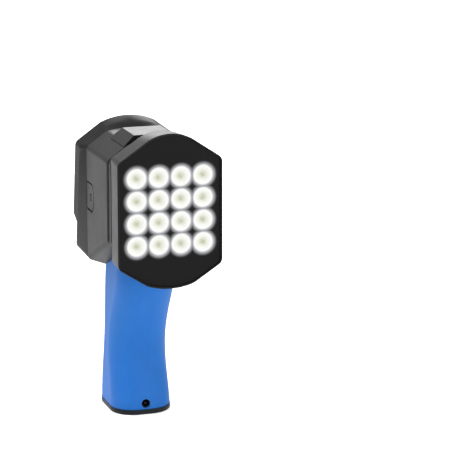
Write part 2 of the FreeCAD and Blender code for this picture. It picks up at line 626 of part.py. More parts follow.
def body_half(name, side):
    """One half of the body shell with its half of the grip core; side is 1 on the right."""
    body = new_body(name)
    inward = side > 0
    loft(body, body_sections(body, "shell", "0", row=True))
    grip_loft(body, "core", "sleeve_wall")
    loft(body, hood_sections(body, "hood", "seat_gap", row=True), cut=True)
    loft(body, body_sections(body, "inside", "-shell_wall", row=True, ease="0"), cut=True)
    grip_loft(body, "core_inside", "sleeve_wall + core_wall", cut=True)
    halved = side_sketch(body, "halved")
    rectangle(halved, "-face_reach", "rim_reach", "-run_over", "head_height + hood_crown")
    pocket(body, halved, OUTSIDE, backwards=not inward)
    turn = "" if inward else "-"

    def span(low, high):
        return (low, high) if inward else (f"-({high})", f"-({low})")

    rail = front_sketch(body, "rail", in_row("rail_start"))
    bind(rail, AttachmentOffset__Base__y="head_height")
    wall = "body_half - shell_wall"
    rectangle(rail, *span(f"{wall} - rail_reach", f"{wall} + run_over"), "rail_top - rail_thickness",
              "rail_top")
    pad(body, rail, "rail_length", backwards=True)
    block = level_sketch(body, "cap_block", "cap_block_base")
    core = "grip_foot_width / 2 - sleeve_wall - core_wall"
    rectangle(block, *span("cap_block_inner", f"{core} + run_over"), "-cap_block_half", "cap_block_half")
    pad(body, block, "cap_block_height")
    posts = side_sketch(body, "grip_posts")
    holes = side_sketch(body, "grip_screw_holes", f"{turn}run_over")
    for back, up in GRIP_SCREWS:
        circle(posts, back, up, "grip_post_radius")
        circle(holes, back, up, "grip_screw_shank + screw_gap")
    pad(body, posts, "grip_post_length", backwards=not inward)
    doc.recompute()
    if inward:
        bind(holes, AttachmentOffset__Base__z="grip_screw_tip + screw_end_gap")
        pocket(body, holes, "grip_screw_tip + run_over")
        lug_recess(body, "front", side)
    else:
        bind(holes, AttachmentOffset__Base__z="-(grip_post_length + grip_screw_lead)")
        pocket(body, holes, "grip_post_length + grip_screw_lead + run_over", backwards=True)
        wells = side_sketch(body, "grip_screw_wells", "-(grip_post_length + grip_screw_lead)")
        for back, up in GRIP_SCREWS:
            circle(wells, back, up, "grip_screw_head + screw_gap")
        pocket(body, wells, "grip_post_length + grip_screw_lead - grip_screw_seat", backwards=True)
        lug_recess(body, "rear", side)
    screw = level_sketch(body, "cap_screw_hole", "cap_block_base")
    circle(screw, f"{turn}cap_screw_x", "0", "cap_screw_shank + screw_gap")
    pocket(body, screw, "cap_screw_head_depth + cap_screw_length - cap_block_base + screw_end_gap",
           backwards=True)
    socket_opening(body, "socket_hole_depth + socket_shoulder - socket_front")


def socket_opening(body, depth):
    """The round opening for the charging socket, cut this deep from a little ahead of the grip."""
    hole = front_sketch(body, "socket_hole", "socket_front - socket_hole_lead")
    circle(hole, "0", "socket_height", "socket_hole")
    pocket(body, hole, depth)


def lug_recess(body, end, side):
    """The shallow seat for a screw lug on the body shell, and its screw hole."""
    outside = OUTSIDE if side > 0 else f"-{OUTSIDE}"
    root = "body_front - lug_root_reach" if end == "front" else "body_back + lug_root_reach"
    seat = side_sketch(body, f"{end}_lug_seat", outside)
    lug_outline(seat, in_row(root), in_row(f"{end}_lug_end"), f"head_height + {end}_lug_z", "lug_clearance")
    pocket(body, seat, f"{OUTSIDE} - {LUG_SEAT}", backwards=side < 0)
    hole = side_sketch(body, f"{end}_lug_hole", outside)
    circle(hole, in_row(f"{end}_lug_screw"), f"head_height + {end}_lug_z", "lug_shank_radius + screw_gap")
    pocket(body, hole, "shell_wall + 2 * run_over", backwards=side < 0)


def rear_housing():
    """The display hood: a flared shell with a high visor and a low lip below the keys."""
    body = head_body("rear_housing")
    loft(body, hood_sections(body, "hood"))
    within = "-shell_wall - seat_gap"
    loft(body, [SPIGOT_FRONT.grown(within).draw(front_sketch(body, "spigot_front", "hood_spigot_start")),
                BODY_BACK.grown(within).draw(front_sketch(body, "spigot_back", "body_back")),
                BODY_BACK.grown(within).draw(front_sketch(body, "spigot_root", "hood_start"))])
    lug = lug_outline(side_sketch(body, "lug", "-(body_half - lug_sunk)"), "hood_start + run_over",
                      "rear_lug_end", "rear_lug_z")
    pad(body, lug, "lug_thickness")
    doc.recompute()
    recess = HOOD.grown("-hood_wall").draw(rim_sketch(body, "panel_recess", "-run_over"))
    pocket(body, recess, f"{PANEL_BACK} + run_over", backwards=True)
    mouth = rim_sketch(body, "mouth", f"{PANEL_BACK} - hood_mouth_lap")
    HOOD.grown("-hood_wall - hood_ledge").draw(mouth)
    within = "-shell_wall - seat_gap - neck_wall"
    loft(body, [SPIGOT_FRONT.grown(within).draw(front_sketch(body, "bore_front", "hood_spigot_start")),
                BODY_BACK.grown(within).draw(front_sketch(body, "bore_back", "body_back")), mouth], cut=True)
    notch = side_sketch(body, "visor_notch")
    notch.AttachmentOffset = Placement(Vector(), Rotation(Vector(0, 0, 1), size("face_tilt")))
    bind(notch, AttachmentOffset__Rotation__Angle="face_tilt * 1 deg", AttachmentOffset__Base__x="rim_reach")
    lip = "-(face_depth - lower_rim_proud)"
    visor_slope = f"(visor_notch - visor_end) / ({lip})"
    closed_outline(notch, [(lip, "-visor_notch"), (lip, "-visor_far"), ("visor_overcut", "-visor_far"),
                           ("visor_overcut", f"-visor_end - visor_overcut * {visor_slope}")])
    cut = pocket(body, notch, "2 * (hood_half + run_over)")
    cut.SideType = "Symmetric"
    doc.recompute()
    lug_fixing(body, "rear_lug_screw", "rear_lug_z", -1)


def ellipse(sketch, x, y, half, rise):
    """An ellipse that is wider than it is high, with its centre and half axes tied to expressions."""
    edge = sketch.GeometryCount
    centre = Vector(size(x), size(y), 0)
    sketch.addGeometry(Part.Ellipse(centre, size(half), size(rise)), False)
    place(sketch, edge, 3, (x, y))
    sketch.exposeInternalGeometry(edge)
    sketch.addConstraint(Sketcher.Constraint("Horizontal", edge + 1))
    constrain(sketch, "Distance", edge + 1, text=f"2 * ({half})")
    constrain(sketch, "Distance", edge + 2, text=f"2 * ({rise})")


def face_panel():
    """The panel inside the hood, with the window and the oval for the keys, and posts for the board."""
    body = display_body("face_panel")
    panel = HOOD.grown("-hood_wall - seat_gap").draw(level_sketch(body, "panel", f"-{PANEL_BACK}"))
    pad(body, panel, "panel_thickness")
    posts = level_sketch(body, "posts", f"-{PANEL_BACK}")
    holes = level_sketch(body, "post_holes", f"-{DISPLAY_BOARD_TOP}")
    for across, up in DISPLAY_POSTS:
        circle(posts, across, up, "display_post_radius")
        circle(holes, across, up, "display_screw_shank + screw_gap")
    pad(body, posts, f"{DISPLAY_BOARD_TOP} - {PANEL_BACK}", backwards=True)
    doc.recompute()
    pocket(body, holes, "display_screw_length - board_thickness + screw_end_gap", backwards=True)
    window = level_sketch(body, "window", "-face_depth")
    rectangle(window, "-window_half", "window_half", "-window_low", "window_top")
    pocket(body, window, "panel_thickness + run_over")
    oval = level_sketch(body, "oval", "-face_depth")
    ellipse(oval, "0", "-keys_below", "keys_half + loose_gap", "keys_rise + loose_gap")
    pocket(body, oval, "panel_thickness + run_over")


def display_stack():
    """The window, the display module, and the board and screws behind them."""
    body = display_body("display_window")
    glass = level_sketch(body, "glass", f"-{PANEL_BACK} - window_thickness")
    rectangle(glass, "-window_half - window_border", "window_half + window_border",
              "-window_low - window_border", "window_top + window_border")
    pad(body, glass, "window_thickness")
    body = display_body("lcd_module")
    module = level_sketch(body, "module", f"-{DISPLAY_BOARD_TOP}")
    rectangle(module, "-window_half - module_border", "window_half + module_border",
              "-window_low - module_border", "window_top + module_border")
    pad(body, module, "module_thickness")
    body = display_body("display_board")
    outline = HeadOutline("display_board_half", "display_board_side_top", "display_board_shoulder_x",
                          "display_board_top", "display_board_top + display_board_arch",
                          "display_board_side_low", "display_board_foot_x", "display_board_foot",
                          "display_board_foot + display_board_sag", "display_board_corner")
    board = outline.draw(level_sketch(body, "board", f"-{DISPLAY_BOARD_TOP} - board_thickness"))
    pad(body, board, "board_thickness")
    doc.recompute()
    holes = level_sketch(body, "screw_holes", f"-{DISPLAY_BOARD_TOP}")
    for across, up in DISPLAY_POSTS:
        circle(holes, across, up, "display_screw_shank + screw_gap")
    pocket(body, holes, "board_thickness + run_over")
    body = display_body("display_screws")
    heads = level_sketch(body, "heads", f"-{DISPLAY_BOARD_TOP} - board_thickness")
    shanks = level_sketch(body, "shanks", f"-{DISPLAY_BOARD_TOP} - board_thickness")
    for across, up in DISPLAY_POSTS:
        circle(heads, across, up, "display_screw_head")
        circle(shanks, across, up, "display_screw_shank")
    pad(body, heads, "display_screw_head_height", backwards=True)
    pad(body, shanks, "display_screw_length")


# The keys share one oval that two upright gaps and a cross divide. Their outlines are measured
# from the oval's centre, and each stem stands under the middle of its key.
SIDE_EDGE = "(key_split - key_gap / 2)"
END_EDGE = "(key_split + key_gap / 2)"
CROSS_LIFT = "(key_gap / 2 * sqrt(1 + key_slope ^ 2))"
SIDE_POINT = f"({CROSS_LIFT} / key_slope)"
SIDE_RISE = f"(({SIDE_EDGE} - {SIDE_POINT}) * key_slope)"
FAN_RISE = f"({CROSS_LIFT} + {SIDE_EDGE} * key_slope)"
OVER = "(keys_rise + key_blank_margin)"
BEYOND = "(keys_half + key_blank_margin)"
FAN = [("0", CROSS_LIFT), (SIDE_EDGE, FAN_RISE), (SIDE_EDGE, OVER), (f"-{SIDE_EDGE}", OVER),
       (f"-{SIDE_EDGE}", FAN_RISE)]
SIDE = [(SIDE_POINT, "0"), (SIDE_EDGE, f"-{SIDE_RISE}"), (SIDE_EDGE, SIDE_RISE)]
END = [(END_EDGE, f"-{OVER}"), (BEYOND, f"-{OVER}"), (BEYOND, OVER), (END_EDGE, OVER)]


def mirrored(points, across=1, up=1):
    """The points turned over sideways, upside down or both."""
    return [(f"{across} * ({x})", f"{up} * ({y})") for x, y in points]


KEYS = {
    "power_key": (mirrored(END, across=-1), ("-end_key_middle", "0")),
    "mode_key": (mirrored(SIDE, across=-1), ("-side_key_middle", "0")),
    "raise_key": (FAN, ("0", "top_key_middle")),
    "lower_key": (mirrored(FAN, up=-1), ("0", "-top_key_middle")),
    "multiply_key": (SIDE, ("side_key_middle", "0")),
    "pulse_key": (END, ("end_key_middle", "0")),
}


def keys():
    """Six keys: each is its share of the oval on a round stem."""
    for name, (points, (stem_x, stem_y)) in KEYS.items():
        body = display_body(name)
        cap = level_sketch(body, "cap", f"-{KEY_UNDERSIDE}")
        closed_outline(cap, [(x, f"{y} - keys_below") for x, y in points])
        pad(body, cap, "key_thickness")
        doc.recompute()
        if "side_key" not in stem_x:
            trim = level_sketch(body, "trim", "-face_depth + key_proud + run_over")
            circle(trim, "0", "-keys_below", "2 * keys_half")
            ellipse(trim, "0", "-keys_below", "keys_half", "keys_rise")
            pocket(body, trim, "key_thickness + 2 * run_over")
        stem = level_sketch(body, "stem", f"-{KEY_UNDERSIDE}")
        circle(stem, stem_x, f"{stem_y} - keys_below", "key_stem_radius")
        pad(body, stem, "key_stem_length", backwards=True)


def key_base():
    """The frame that guides the key stems, and the switches under them."""
    body = display_body("key_frame")
    plate = level_sketch(body, "plate", f"-{KEY_FRAME_TOP} - key_frame_thickness")
    ellipse(plate, "0", "-keys_below", "keys_half + key_frame_border", "keys_rise + key_frame_border")
    pad(body, plate, "key_frame_thickness")
    wall = level_sketch(body, "wall", f"-{KEY_FRAME_TOP} - key_frame_thickness")
    ellipse(wall, "0", "-keys_below", "keys_half + key_frame_border", "keys_rise + key_frame_border")
    ellipse(wall, "0", "-keys_below", "keys_half + key_frame_border - key_frame_wall",
            "keys_rise + key_frame_border - key_frame_wall")
    pad(body, wall, f"{DISPLAY_BOARD_TOP} - {KEY_FRAME_TOP} - key_frame_thickness", backwards=True)
    doc.recompute()
    holes = level_sketch(body, "stem_holes", f"-{KEY_FRAME_TOP}")
    for _, (x, y) in KEYS.values():
        circle(holes, x, f"{y} - keys_below", "key_stem_radius + screw_gap")
    pocket(body, holes, "key_frame_thickness + run_over")
    body = display_body("key_switches")
    squares = level_sketch(body, "squares", f"-{DISPLAY_BOARD_TOP}")
    for _, (x, y) in KEYS.values():
        rectangle(squares, f"{x} - switch_half", f"{x} + switch_half", f"{y} - keys_below - switch_half",
                  f"{y} - keys_below + switch_half")
    pad(body, squares, f"{DISPLAY_BOARD_TOP} - {SWITCH_TOP}")


def grip_sleeve():
    """The soft sleeve, which ends against the underside of the head and has the socket's hole."""
    body = new_body("grip_sleeve")
    grip_loft(body, "skin", "0")
    grip_loft(body, "core", "sleeve_wall", cut=True)
    loft(body, body_sections(body, "shell", "seat_gap", row=True), cut=True)
    loft(body, hood_sections(body, "hood", "seat_gap", row=True), cut=True)
    socket_opening(body, "socket_hole_depth")


def bottom_cap():
    """The cap under the grip, with rails inside the core and a boss for the tripod bush."""
    body = new_body("bottom_cap")
    plate = level_sketch(body, "plate")
    rectangle(plate, "-cap_width / 2", "cap_width / 2", "cap_front", "cap_back", "cap_corner")
    pad(body, plate, "grip_foot_height")
    doc.recompute()
    plate_pad = body.Tip
    edges = [f"Edge{number}" for number, edge in enumerate(body.Shape.Edges, start=1)
             if edge.BoundBox.ZMax < TOLERANCE]
    ease = body.newObject("PartDesign::Chamfer", "ease")
    ease.Base = (plate_pad, edges)
    bind(ease, Size="cap_chamfer")
    rails = level_sketch(body, "rails", "grip_foot_height")
    rectangle(rails, "cap_rail_inner", "cap_rail_outer", "-cap_rail_half", "cap_rail_half")
    rectangle(rails, "-cap_rail_outer", "-cap_rail_inner", "-cap_rail_half", "cap_rail_half")
    pad(body, rails, "cap_rail_height")
    boss = level_sketch(body, "boss", "grip_foot_height")
    circle(boss, "0", "0", "cap_boss_radius")
    pad(body, boss, "cap_boss_height - grip_foot_height")
    doc.recompute()
    bore = level_sketch(body, "bore")
    circle(bore, "0", "0", "bush_radius")
    pocket(body, bore, "cap_boss_height + run_over", backwards=True)
    heads = level_sketch(body, "screw_heads")
    holes = level_sketch(body, "screw_holes")
    for across in ("cap_screw_x", "-cap_screw_x"):
        circle(heads, across, "0", "cap_screw_head + loose_gap")
        circle(holes, across, "0", "cap_screw_shank + screw_gap")
    pocket(body, heads, "cap_screw_head_depth", backwards=True)
    pocket(body, holes, "grip_foot_height + run_over", backwards=True)


def tripod_bush():
    """The threaded bush, flush with the cap's underside, with a flange over its boss."""
    body = new_body("tripod_bush")
    profile = front_sketch(body, "profile")
    top = "cap_boss_height + bush_flange"
    closed_outline(profile, [("thread_radius", "0"), ("bush_radius", "0"), ("bush_radius", "cap_boss_height"),
                             ("bush_flange_radius", "cap_boss_height"), ("bush_flange_radius", top),
                             ("thread_radius", top)])
    turned(body, profile)


def cap_screws():
    """Two screws that hold the cap to the core halves."""
    body = new_body("cap_screws")
    heads = level_sketch(body, "heads", "cap_screw_head_depth")
    shanks = level_sketch(body, "shanks", "cap_screw_head_depth")
    for across in ("cap_screw_x", "-cap_screw_x"):
        circle(heads, across, "0", "cap_screw_head")
        circle(shanks, across, "0", "cap_screw_shank")
    pad(body, heads, "cap_screw_head_height", backwards=True)
    pad(body, shanks, "cap_screw_length")


def grip_screws():
    """Two screws that draw the core halves together under the sleeve."""
    body = new_body("grip_screws")
    heads = side_sketch(body, "heads", "-grip_screw_seat")
    shanks = side_sketch(body, "shanks", "-grip_screw_seat")
    for back, up in GRIP_SCREWS:
        circle(heads, back, up, "grip_screw_head")
        circle(shanks, back, up, "grip_screw_shank")
    pad(body, heads, "grip_screw_head_height", backwards=True)
    pad(body, shanks, "grip_screw_seat + grip_screw_tip")


def charge_socket():
    """The round socket low on the grip's front, with its centre pin."""
    body = new_body("charge_socket")
    nose = front_sketch(body, "nose", "socket_front")
    circle(nose, "0", "socket_height", "socket_nose")
    pad(body, nose, "socket_shoulder - socket_front", backwards=True)
    block = front_sketch(body, "block", "socket_shoulder")
    circle(block, "0", "socket_height", "socket_body")
    pad(body, block, "socket_end - socket_shoulder", backwards=True)
    doc.recompute()
    bore = front_sketch(body, "bore", "socket_front")
    circle(bore, "0", "socket_height", "socket_bore")
    circle(bore, "0", "socket_height", "socket_pin")
    pocket(body, bore, "socket_bore_depth")


def battery_body(name):
    """A body drawn along the battery, which leans with the grip."""
    body = new_body(name)
    body.Placement = Placement(Vector(), Rotation(Vector(1, 0, 0), size("grip_lean")))
    bind(body, Placement__Rotation__Angle="grip_lean * 1 deg", Placement__Base__y="cell_y",
         Placement__Base__z="cell_base")
    return body


def battery():
    """Two cells in a holder, joined by metal strips."""
    for name, turn in (("battery_cell_front", "-"), ("battery_cell_rear", "")):
        body = battery_body(name)
        middle = f"{turn}(cell_radius + cell_gap / 2)"
        cell = level_sketch(body, "cell", "strip_thickness")
        circle(cell, "0", middle, "cell_radius")
        pad(body, cell, "cell_length - cell_button")
        button = level_sketch(body, "button", "strip_thickness + cell_length - cell_button")
        circle(button, "0", middle, "cell_button_radius")
        pad(body, button, "cell_button")
    body = battery_body("battery_holder")
    for name, height in (("plate", "-holder_plate"), ("lid", "cell_length + 2 * strip_thickness")):
        end = level_sketch(body, name, height)
        rectangle(end, "-holder_width / 2", "holder_width / 2", "-holder_depth / 2", "holder_depth / 2",
                  "holder_corner")
        pad(body, end, "holder_plate")
    walls = level_sketch(body, "walls")
    for turn in ("", "-"):
        near, far = f"{turn}(cell_radius + cell_gap)", f"{turn}(cell_radius + cell_gap + holder_wall)"
        left, right = (far, near) if turn else (near, far)
        rectangle(walls, left, right, "-holder_wall_half", "holder_wall_half")
    pad(body, walls, "cell_length + 2 * strip_thickness")
    body = battery_body("battery_strips")
    low = level_sketch(body, "low_strip")
    rectangle(low, "-strip_half", "strip_half", "-strip_reach", "strip_reach")
    pad(body, low, "strip_thickness")
    high = level_sketch(body, "high_strips", "strip_thickness + cell_length")
    for turn in ("", "-"):
        middle = f"{turn}(cell_radius + cell_gap / 2)"
        rectangle(high, "-strip_half", "strip_half", f"{middle} - strip_half", f"{middle} + strip_half")
    pad(body, high, "strip_thickness")


def write_parts():
    """Checks every feature and writes each sub-part to its own file."""
    doc.recompute()
    for feature in doc.Objects:
        if "Invalid" in feature.State or "Error" in feature.State:
            raise RuntimeError(f"{feature.Label} is {feature.State}")
    os.makedirs("parts", exist_ok=True)
    for part in parts:
        if part.Shape.isNull() or not part.Shape.isValid():
            raise RuntimeError(f"{part.Label} has no valid shape")
        part.Shape.exportStep(f"parts/{part.Label}.step")
        print(part.Label, len(part.Shape.Solids), round(part.Shape.Volume, 1))


front_housing()
led_plate()
lenses()
lamp_board()
heat_sink()
driver()
body_half("housing_left", -1)
body_half("housing_right", 1)
top_cover()
rear_housing()
face_panel()
display_stack()
keys()
key_base()
grip_sleeve()
bottom_cap()
tripod_bush()
cap_screws()
grip_screws()
charge_socket()
battery()
lug_screw("front_lug_screw", "front_lug_screw", "front_lug_z", 1)
lug_screw("rear_lug_screw", "rear_lug_screw", "rear_lug_z", -1)
write_parts()
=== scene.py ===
import logging
import math
from contextlib import contextmanager
from dataclasses import dataclass, field
from enum import Enum
from typing import Callable, Iterator, Optional, Sequence, Union

import bpy
from mathutils import Matrix, Vector


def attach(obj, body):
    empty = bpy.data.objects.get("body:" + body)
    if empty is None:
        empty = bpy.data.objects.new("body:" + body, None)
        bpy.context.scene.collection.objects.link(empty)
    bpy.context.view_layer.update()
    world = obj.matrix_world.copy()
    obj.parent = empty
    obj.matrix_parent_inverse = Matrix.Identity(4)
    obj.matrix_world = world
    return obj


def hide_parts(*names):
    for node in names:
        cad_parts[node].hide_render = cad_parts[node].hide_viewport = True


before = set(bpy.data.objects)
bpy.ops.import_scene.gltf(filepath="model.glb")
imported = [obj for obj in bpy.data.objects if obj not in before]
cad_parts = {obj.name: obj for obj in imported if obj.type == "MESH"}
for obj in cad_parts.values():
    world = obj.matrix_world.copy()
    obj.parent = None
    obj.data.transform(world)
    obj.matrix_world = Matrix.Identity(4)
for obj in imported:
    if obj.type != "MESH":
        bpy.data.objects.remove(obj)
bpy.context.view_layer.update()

WHITE = (1.0, 1.0, 1.0)
HEAD_HEIGHT = 0.1772
FACE_REACH = 0.0955
RIM_REACH = 0.1205
FACE_TILT = math.radians(8)
LENS_PITCH = 0.017
LENS_COUNT = 4
LENS_RADIUS = 0.0075
MERGE_REACH = 0.000004
FLAT_ANGLE = math.radians(0.6)
FACING = 0.99
LETTER_BODY = 0.02
NORMAL_WEIGHT = 90

log = logging.getLogger("stroboscope")
Colour = tuple[float, float, float]
Place = tuple[float, float, float]
Span = tuple[float, float]
Box = tuple[float, float, float, float]
Piece = bpy.types.Object


def written(red: int, green: int, blue: int) -> Colour:
    """Turns a colour as it is written on a screen into the light values that shaders use.

    Args:
        red: Red from 0 to 255.
        green: Green from 0 to 255.
        blue: Blue from 0 to 255.

    Returns:
        The three linear light values.
    """
    values = []
    for part in (red, green, blue):
        share = part / 255
        values.append(share / 12.92 if share <= 0.04045 else ((share + 0.055) / 1.055) ** 2.4)
    return values[0], values[1], values[2]


def shaded(colour: Colour, factor: float) -> Colour:
    """A colour made darker or lighter by a factor."""
    return colour[0] * factor, colour[1] * factor, colour[2] * factor


class Part(Enum):
    """The parts of a mesh that can be picked."""

    FACE = "FACE"
    EDGE = "EDGE"
    CORNER = "VERT"


class Seat(Enum):
    """The faces of the lamp that a piece can be built on, with local Z pointing out of each."""

    LENS_FACE = "lens face"
    DISPLAY = "display"
    RIGHT_SIDE = "right side"
    LEFT_SIDE = "left side"
    UNDERSIDE = "underside"

    def matrix(self, x: float = 0.0, y: float = 0.0, z: float = 0.0) -> Matrix:
        """Places a local frame on this face.

        Args:
            x: Distance across the face from its centre, in metres.
            y: Distance up the face from its centre, in metres.
            z: Distance out of the face, in metres.

        Returns:
            The matrix that carries a piece from the local frame to the lamp.
        """
        rise, lean = math.cos(FACE_TILT), math.sin(FACE_TILT)
        across, upward, outward, origin = {
            Seat.LENS_FACE: ((1, 0, 0), (0, 0, 1), (0, -1, 0), (0, -FACE_REACH, HEAD_HEIGHT)),
            Seat.DISPLAY: ((-1, 0, 0), (0, -lean, rise), (0, rise, lean),
                           (0, RIM_REACH - FACE_REACH, HEAD_HEIGHT)),
            Seat.RIGHT_SIDE: ((0, 1, 0), (0, 0, 1), (1, 0, 0), (0, 0, 0)),
            Seat.LEFT_SIDE: ((0, -1, 0), (0, 0, 1), (-1, 0, 0), (0, 0, 0)),
            Seat.UNDERSIDE: ((-1, 0, 0), (0, 1, 0), (0, 0, -1), (0, 0, 0)),
        }[self]
        columns = [Vector(across), Vector(upward), Vector(outward)]
        place = Vector(origin) + columns[0] * x + columns[1] * y + columns[2] * z
        turn = Matrix((columns[0], columns[1], columns[2])).transposed().to_4x4()
        return Matrix.Translation(place) @ turn


Number = Union[float, "Channel"]


class Channel:
    """One output socket of a shader graph, which Python's operators extend with Math nodes."""

    def __init__(self, graph: "Graph", socket: bpy.types.NodeSocket) -> None:
        """Keeps the graph and the socket."""
        self.graph = graph
        self.socket = socket

    def _math(self, operation: str, *values: Number) -> "Channel":
        """Adds a Math node on these values."""
        return self.graph.node("ShaderNodeMath", {"operation": operation}, dict(enumerate(values)))

    def __add__(self, other: Number) -> "Channel":
        """Adds a value."""
        return self._math("ADD", self, other)

    def __radd__(self, other: Number) -> "Channel":
        """Adds a value on the left."""
        return self._math("ADD", other, self)

    def __sub__(self, other: Number) -> "Channel":
        """Subtracts a value."""
        return self._math("SUBTRACT", self, other)

    def __rsub__(self, other: Number) -> "Channel":
        """Subtracts from a value."""
        return self._math("SUBTRACT", other, self)

    def __mul__(self, other: Number) -> "Channel":
        """Multiplies by a value."""
        return self._math("MULTIPLY", self, other)

    def __rmul__(self, other: Number) -> "Channel":
        """Multiplies a value."""
        return self._math("MULTIPLY", other, self)

    def __truediv__(self, other: Number) -> "Channel":
        """Divides by a value."""
        return self._math("DIVIDE", self, other)

    def __pow__(self, other: Number) -> "Channel":
        """Raises to a power."""
        return self._math("POWER", self, other)

    def root(self) -> "Channel":
        """The square root."""
        return self._math("SQRT", self)

    def size(self) -> "Channel":
        """The value without its sign."""
        return self._math("ABSOLUTE", self)

    def rounded(self) -> "Channel":
        """The nearest whole number."""
        return self._math("ROUND", self)

    def limited(self, low: Number, high: Number) -> "Channel":
        """The value kept between two others."""
        return self._math("MINIMUM", self._math("MAXIMUM", self, low), high)

    def ramped(self, start: float, end: float) -> "Channel":
        """Runs smoothly from 0 at start to 1 at end."""
        return self.graph.node("ShaderNodeMapRange", {"interpolation_type": "SMOOTHSTEP"},
                               {"Value": self, "From Min": start, "From Max": end})


class Graph:
    """The node graph of a material or a world."""

    def __init__(self, owner: Union[bpy.types.Material, bpy.types.World]) -> None:
        """Empties the owner's graph and starts a new one.

        Args:
            owner: The material or world that the graph belongs to.
        """
        self.owner = owner
        owner.use_nodes = True
        self.tree = owner.node_tree
        self.tree.nodes.clear()

    def node(self, kind: str, settings: Optional[dict] = None, sockets: Optional[dict] = None,
             output: Union[int, str] = 0) -> Channel:
        """Adds a node.

        Args:
            kind: The node's type.
            settings: The node's own properties.
            sockets: Values or channels for its input sockets, by name or number.
            output: The output to hand back.

        Returns:
            The chosen output.
        """
        made = self.tree.nodes.new(kind)
        for name, value in (settings or {}).items():
            setattr(made, name, value)
        for name, value in (sockets or {}).items():
            if isinstance(value, Channel):
                self.tree.links.new(value.socket, made.inputs[name])
            else:
                made.inputs[name].default_value = value
        return Channel(self, made.outputs[output])

    def spot(self) -> Channel:
        """The point on the object, in metres."""
        return self.node("ShaderNodeTexCoord", output="Object")

    def place(self, axis: int) -> Channel:
        """One coordinate of the point on the object, in metres; 0, 1 and 2 are X, Y and Z."""
        return self.node("ShaderNodeSeparateXYZ", sockets={0: self.spot()}, output=axis)

    def noise(self, scale: float, detail: float = 2.0, roughness: float = 0.5,
              stretch: Place = (1, 1, 1)) -> Channel:
        """Noise on the object's own coordinates.

        Args:
            scale: How many features there are in a metre.
            detail: How many finer layers it has.
            roughness: The strength of the finer layers.
            stretch: How much the coordinates are scaled along X, Y and Z.

        Returns:
            The noise, from about 0 to 1.
        """
        moved = self.node("ShaderNodeMapping", sockets={"Vector": self.spot(), "Scale": stretch})
        values = {"Vector": moved, "Scale": scale, "Detail": detail, "Roughness": roughness}
        return self.node("ShaderNodeTexNoise", sockets=values)

    def cells(self, scale: float) -> Channel:
        """The distance to the nearest of many scattered points, for a pebbled grain."""
        values = {"Vector": self.spot(), "Scale": scale}
        return self.node("ShaderNodeTexVoronoi", {"feature": "SMOOTH_F1"}, values)

    def blend(self, factor: Number, first: Union[Colour, Channel], second: Union[Colour, Channel]) -> Channel:
        """Mixes two colours, from the first at 0 to the second at 1."""
        first, second = (value if isinstance(value, Channel) else (*value, 1) for value in (first, second))
        return self.node("ShaderNodeMix", {"data_type": "RGBA"}, {0: factor, 6: first, 7: second}, output=2)

    def bump(self, height: Channel, depth: float, strength: float = 1.0) -> Channel:
        """A surface normal raised by a relief from 0 to 1 that is so many metres deep."""
        values = {"Height": height, "Distance": depth, "Strength": strength}
        return self.node("ShaderNodeBump", sockets=values)

    def finish(self, **sockets: Union[float, Colour, Channel]) -> bpy.types.Material:
        """Ends the graph in a Principled shader.

        Args:
            **sockets: The shader's sockets, with an underscore for each space in a name.

        Returns:
            The material.
        """
        values = {}
        for name, value in sockets.items():
            values[name.replace("_", " ")] = (*value, 1) if isinstance(value, tuple) else value
        self.end(self.node("ShaderNodeBsdfPrincipled", sockets=values))
        return self.owner

    def end(self, shader: Channel, kind: str = "ShaderNodeOutputMaterial") -> None:
        """Links a shader to the graph's output node."""
        made = self.tree.nodes.new(kind)
        self.tree.links.new(shader.socket, made.inputs["Surface"])

    def shown_light(self) -> Channel:
        """Tells the rays that show the background from the rays that light the object.

        Returns:
            1 for rays from the camera and for those that metal or glass sends on, else 0.
        """
        kinds = ("Is Camera Ray", "Is Glossy Ray", "Is Transmission Ray")
        camera, glossy, through = (self.node("ShaderNodeLightPath", output=kind) for kind in kinds)
        return (camera + glossy + through).limited(0, 1)


class Finish:
    """Base of all finishes: a finish makes its material once and hands out the same one after."""

    made: dict["Finish", bpy.types.Material] = {}

    def material(self) -> bpy.types.Material:
        """Makes the finish's material at its first use.

        Returns:
            The material.
        """
        if self not in Finish.made:
            Finish.made[self] = self.build(Graph(bpy.data.materials.new(self.name)))
        return Finish.made[self]

    def build(self, graph: Graph) -> bpy.types.Material:
        """Draws the finish's shader."""
        raise NotImplementedError


@dataclass(frozen=True)
class MouldedPlastic(Finish):
    """Spark-eroded plastic: a fine pebbled grain, slightly uneven gloss and colour."""

    name: str
    colour: Colour
    roughness: float = 0.5
    grain: float = 1500
    relief: float = 0.00006
    unevenness: float = 0.16
    gloss: float = 0.5

    def build(self, graph: Graph) -> bpy.types.Material:
        """Draws the grain, the patches and the gloss.

        Args:
            graph: The material's empty graph.

        Returns:
            The material.
        """
        pebbles = graph.cells(self.grain)
        patches = graph.noise(38, 4, 0.6)
        specks = graph.noise(2600, 2, 0.7)
        dark, light = (shaded(self.colour, 1 + sign * self.unevenness) for sign in (-1, 1))
        tone = (patches * 0.6 + specks * 0.4 - 0.5) * 1.6 + 0.5
        return graph.finish(
            Base_Color=graph.blend(tone.limited(0, 1), dark, light),
            Roughness=(patches * 0.14 + pebbles * 0.12 + (self.roughness - 0.13)).limited(0.15, 0.95),
            Normal=graph.bump(pebbles + specks * 0.5, self.relief, 0.35),
            Specular_IOR_Level=self.gloss)


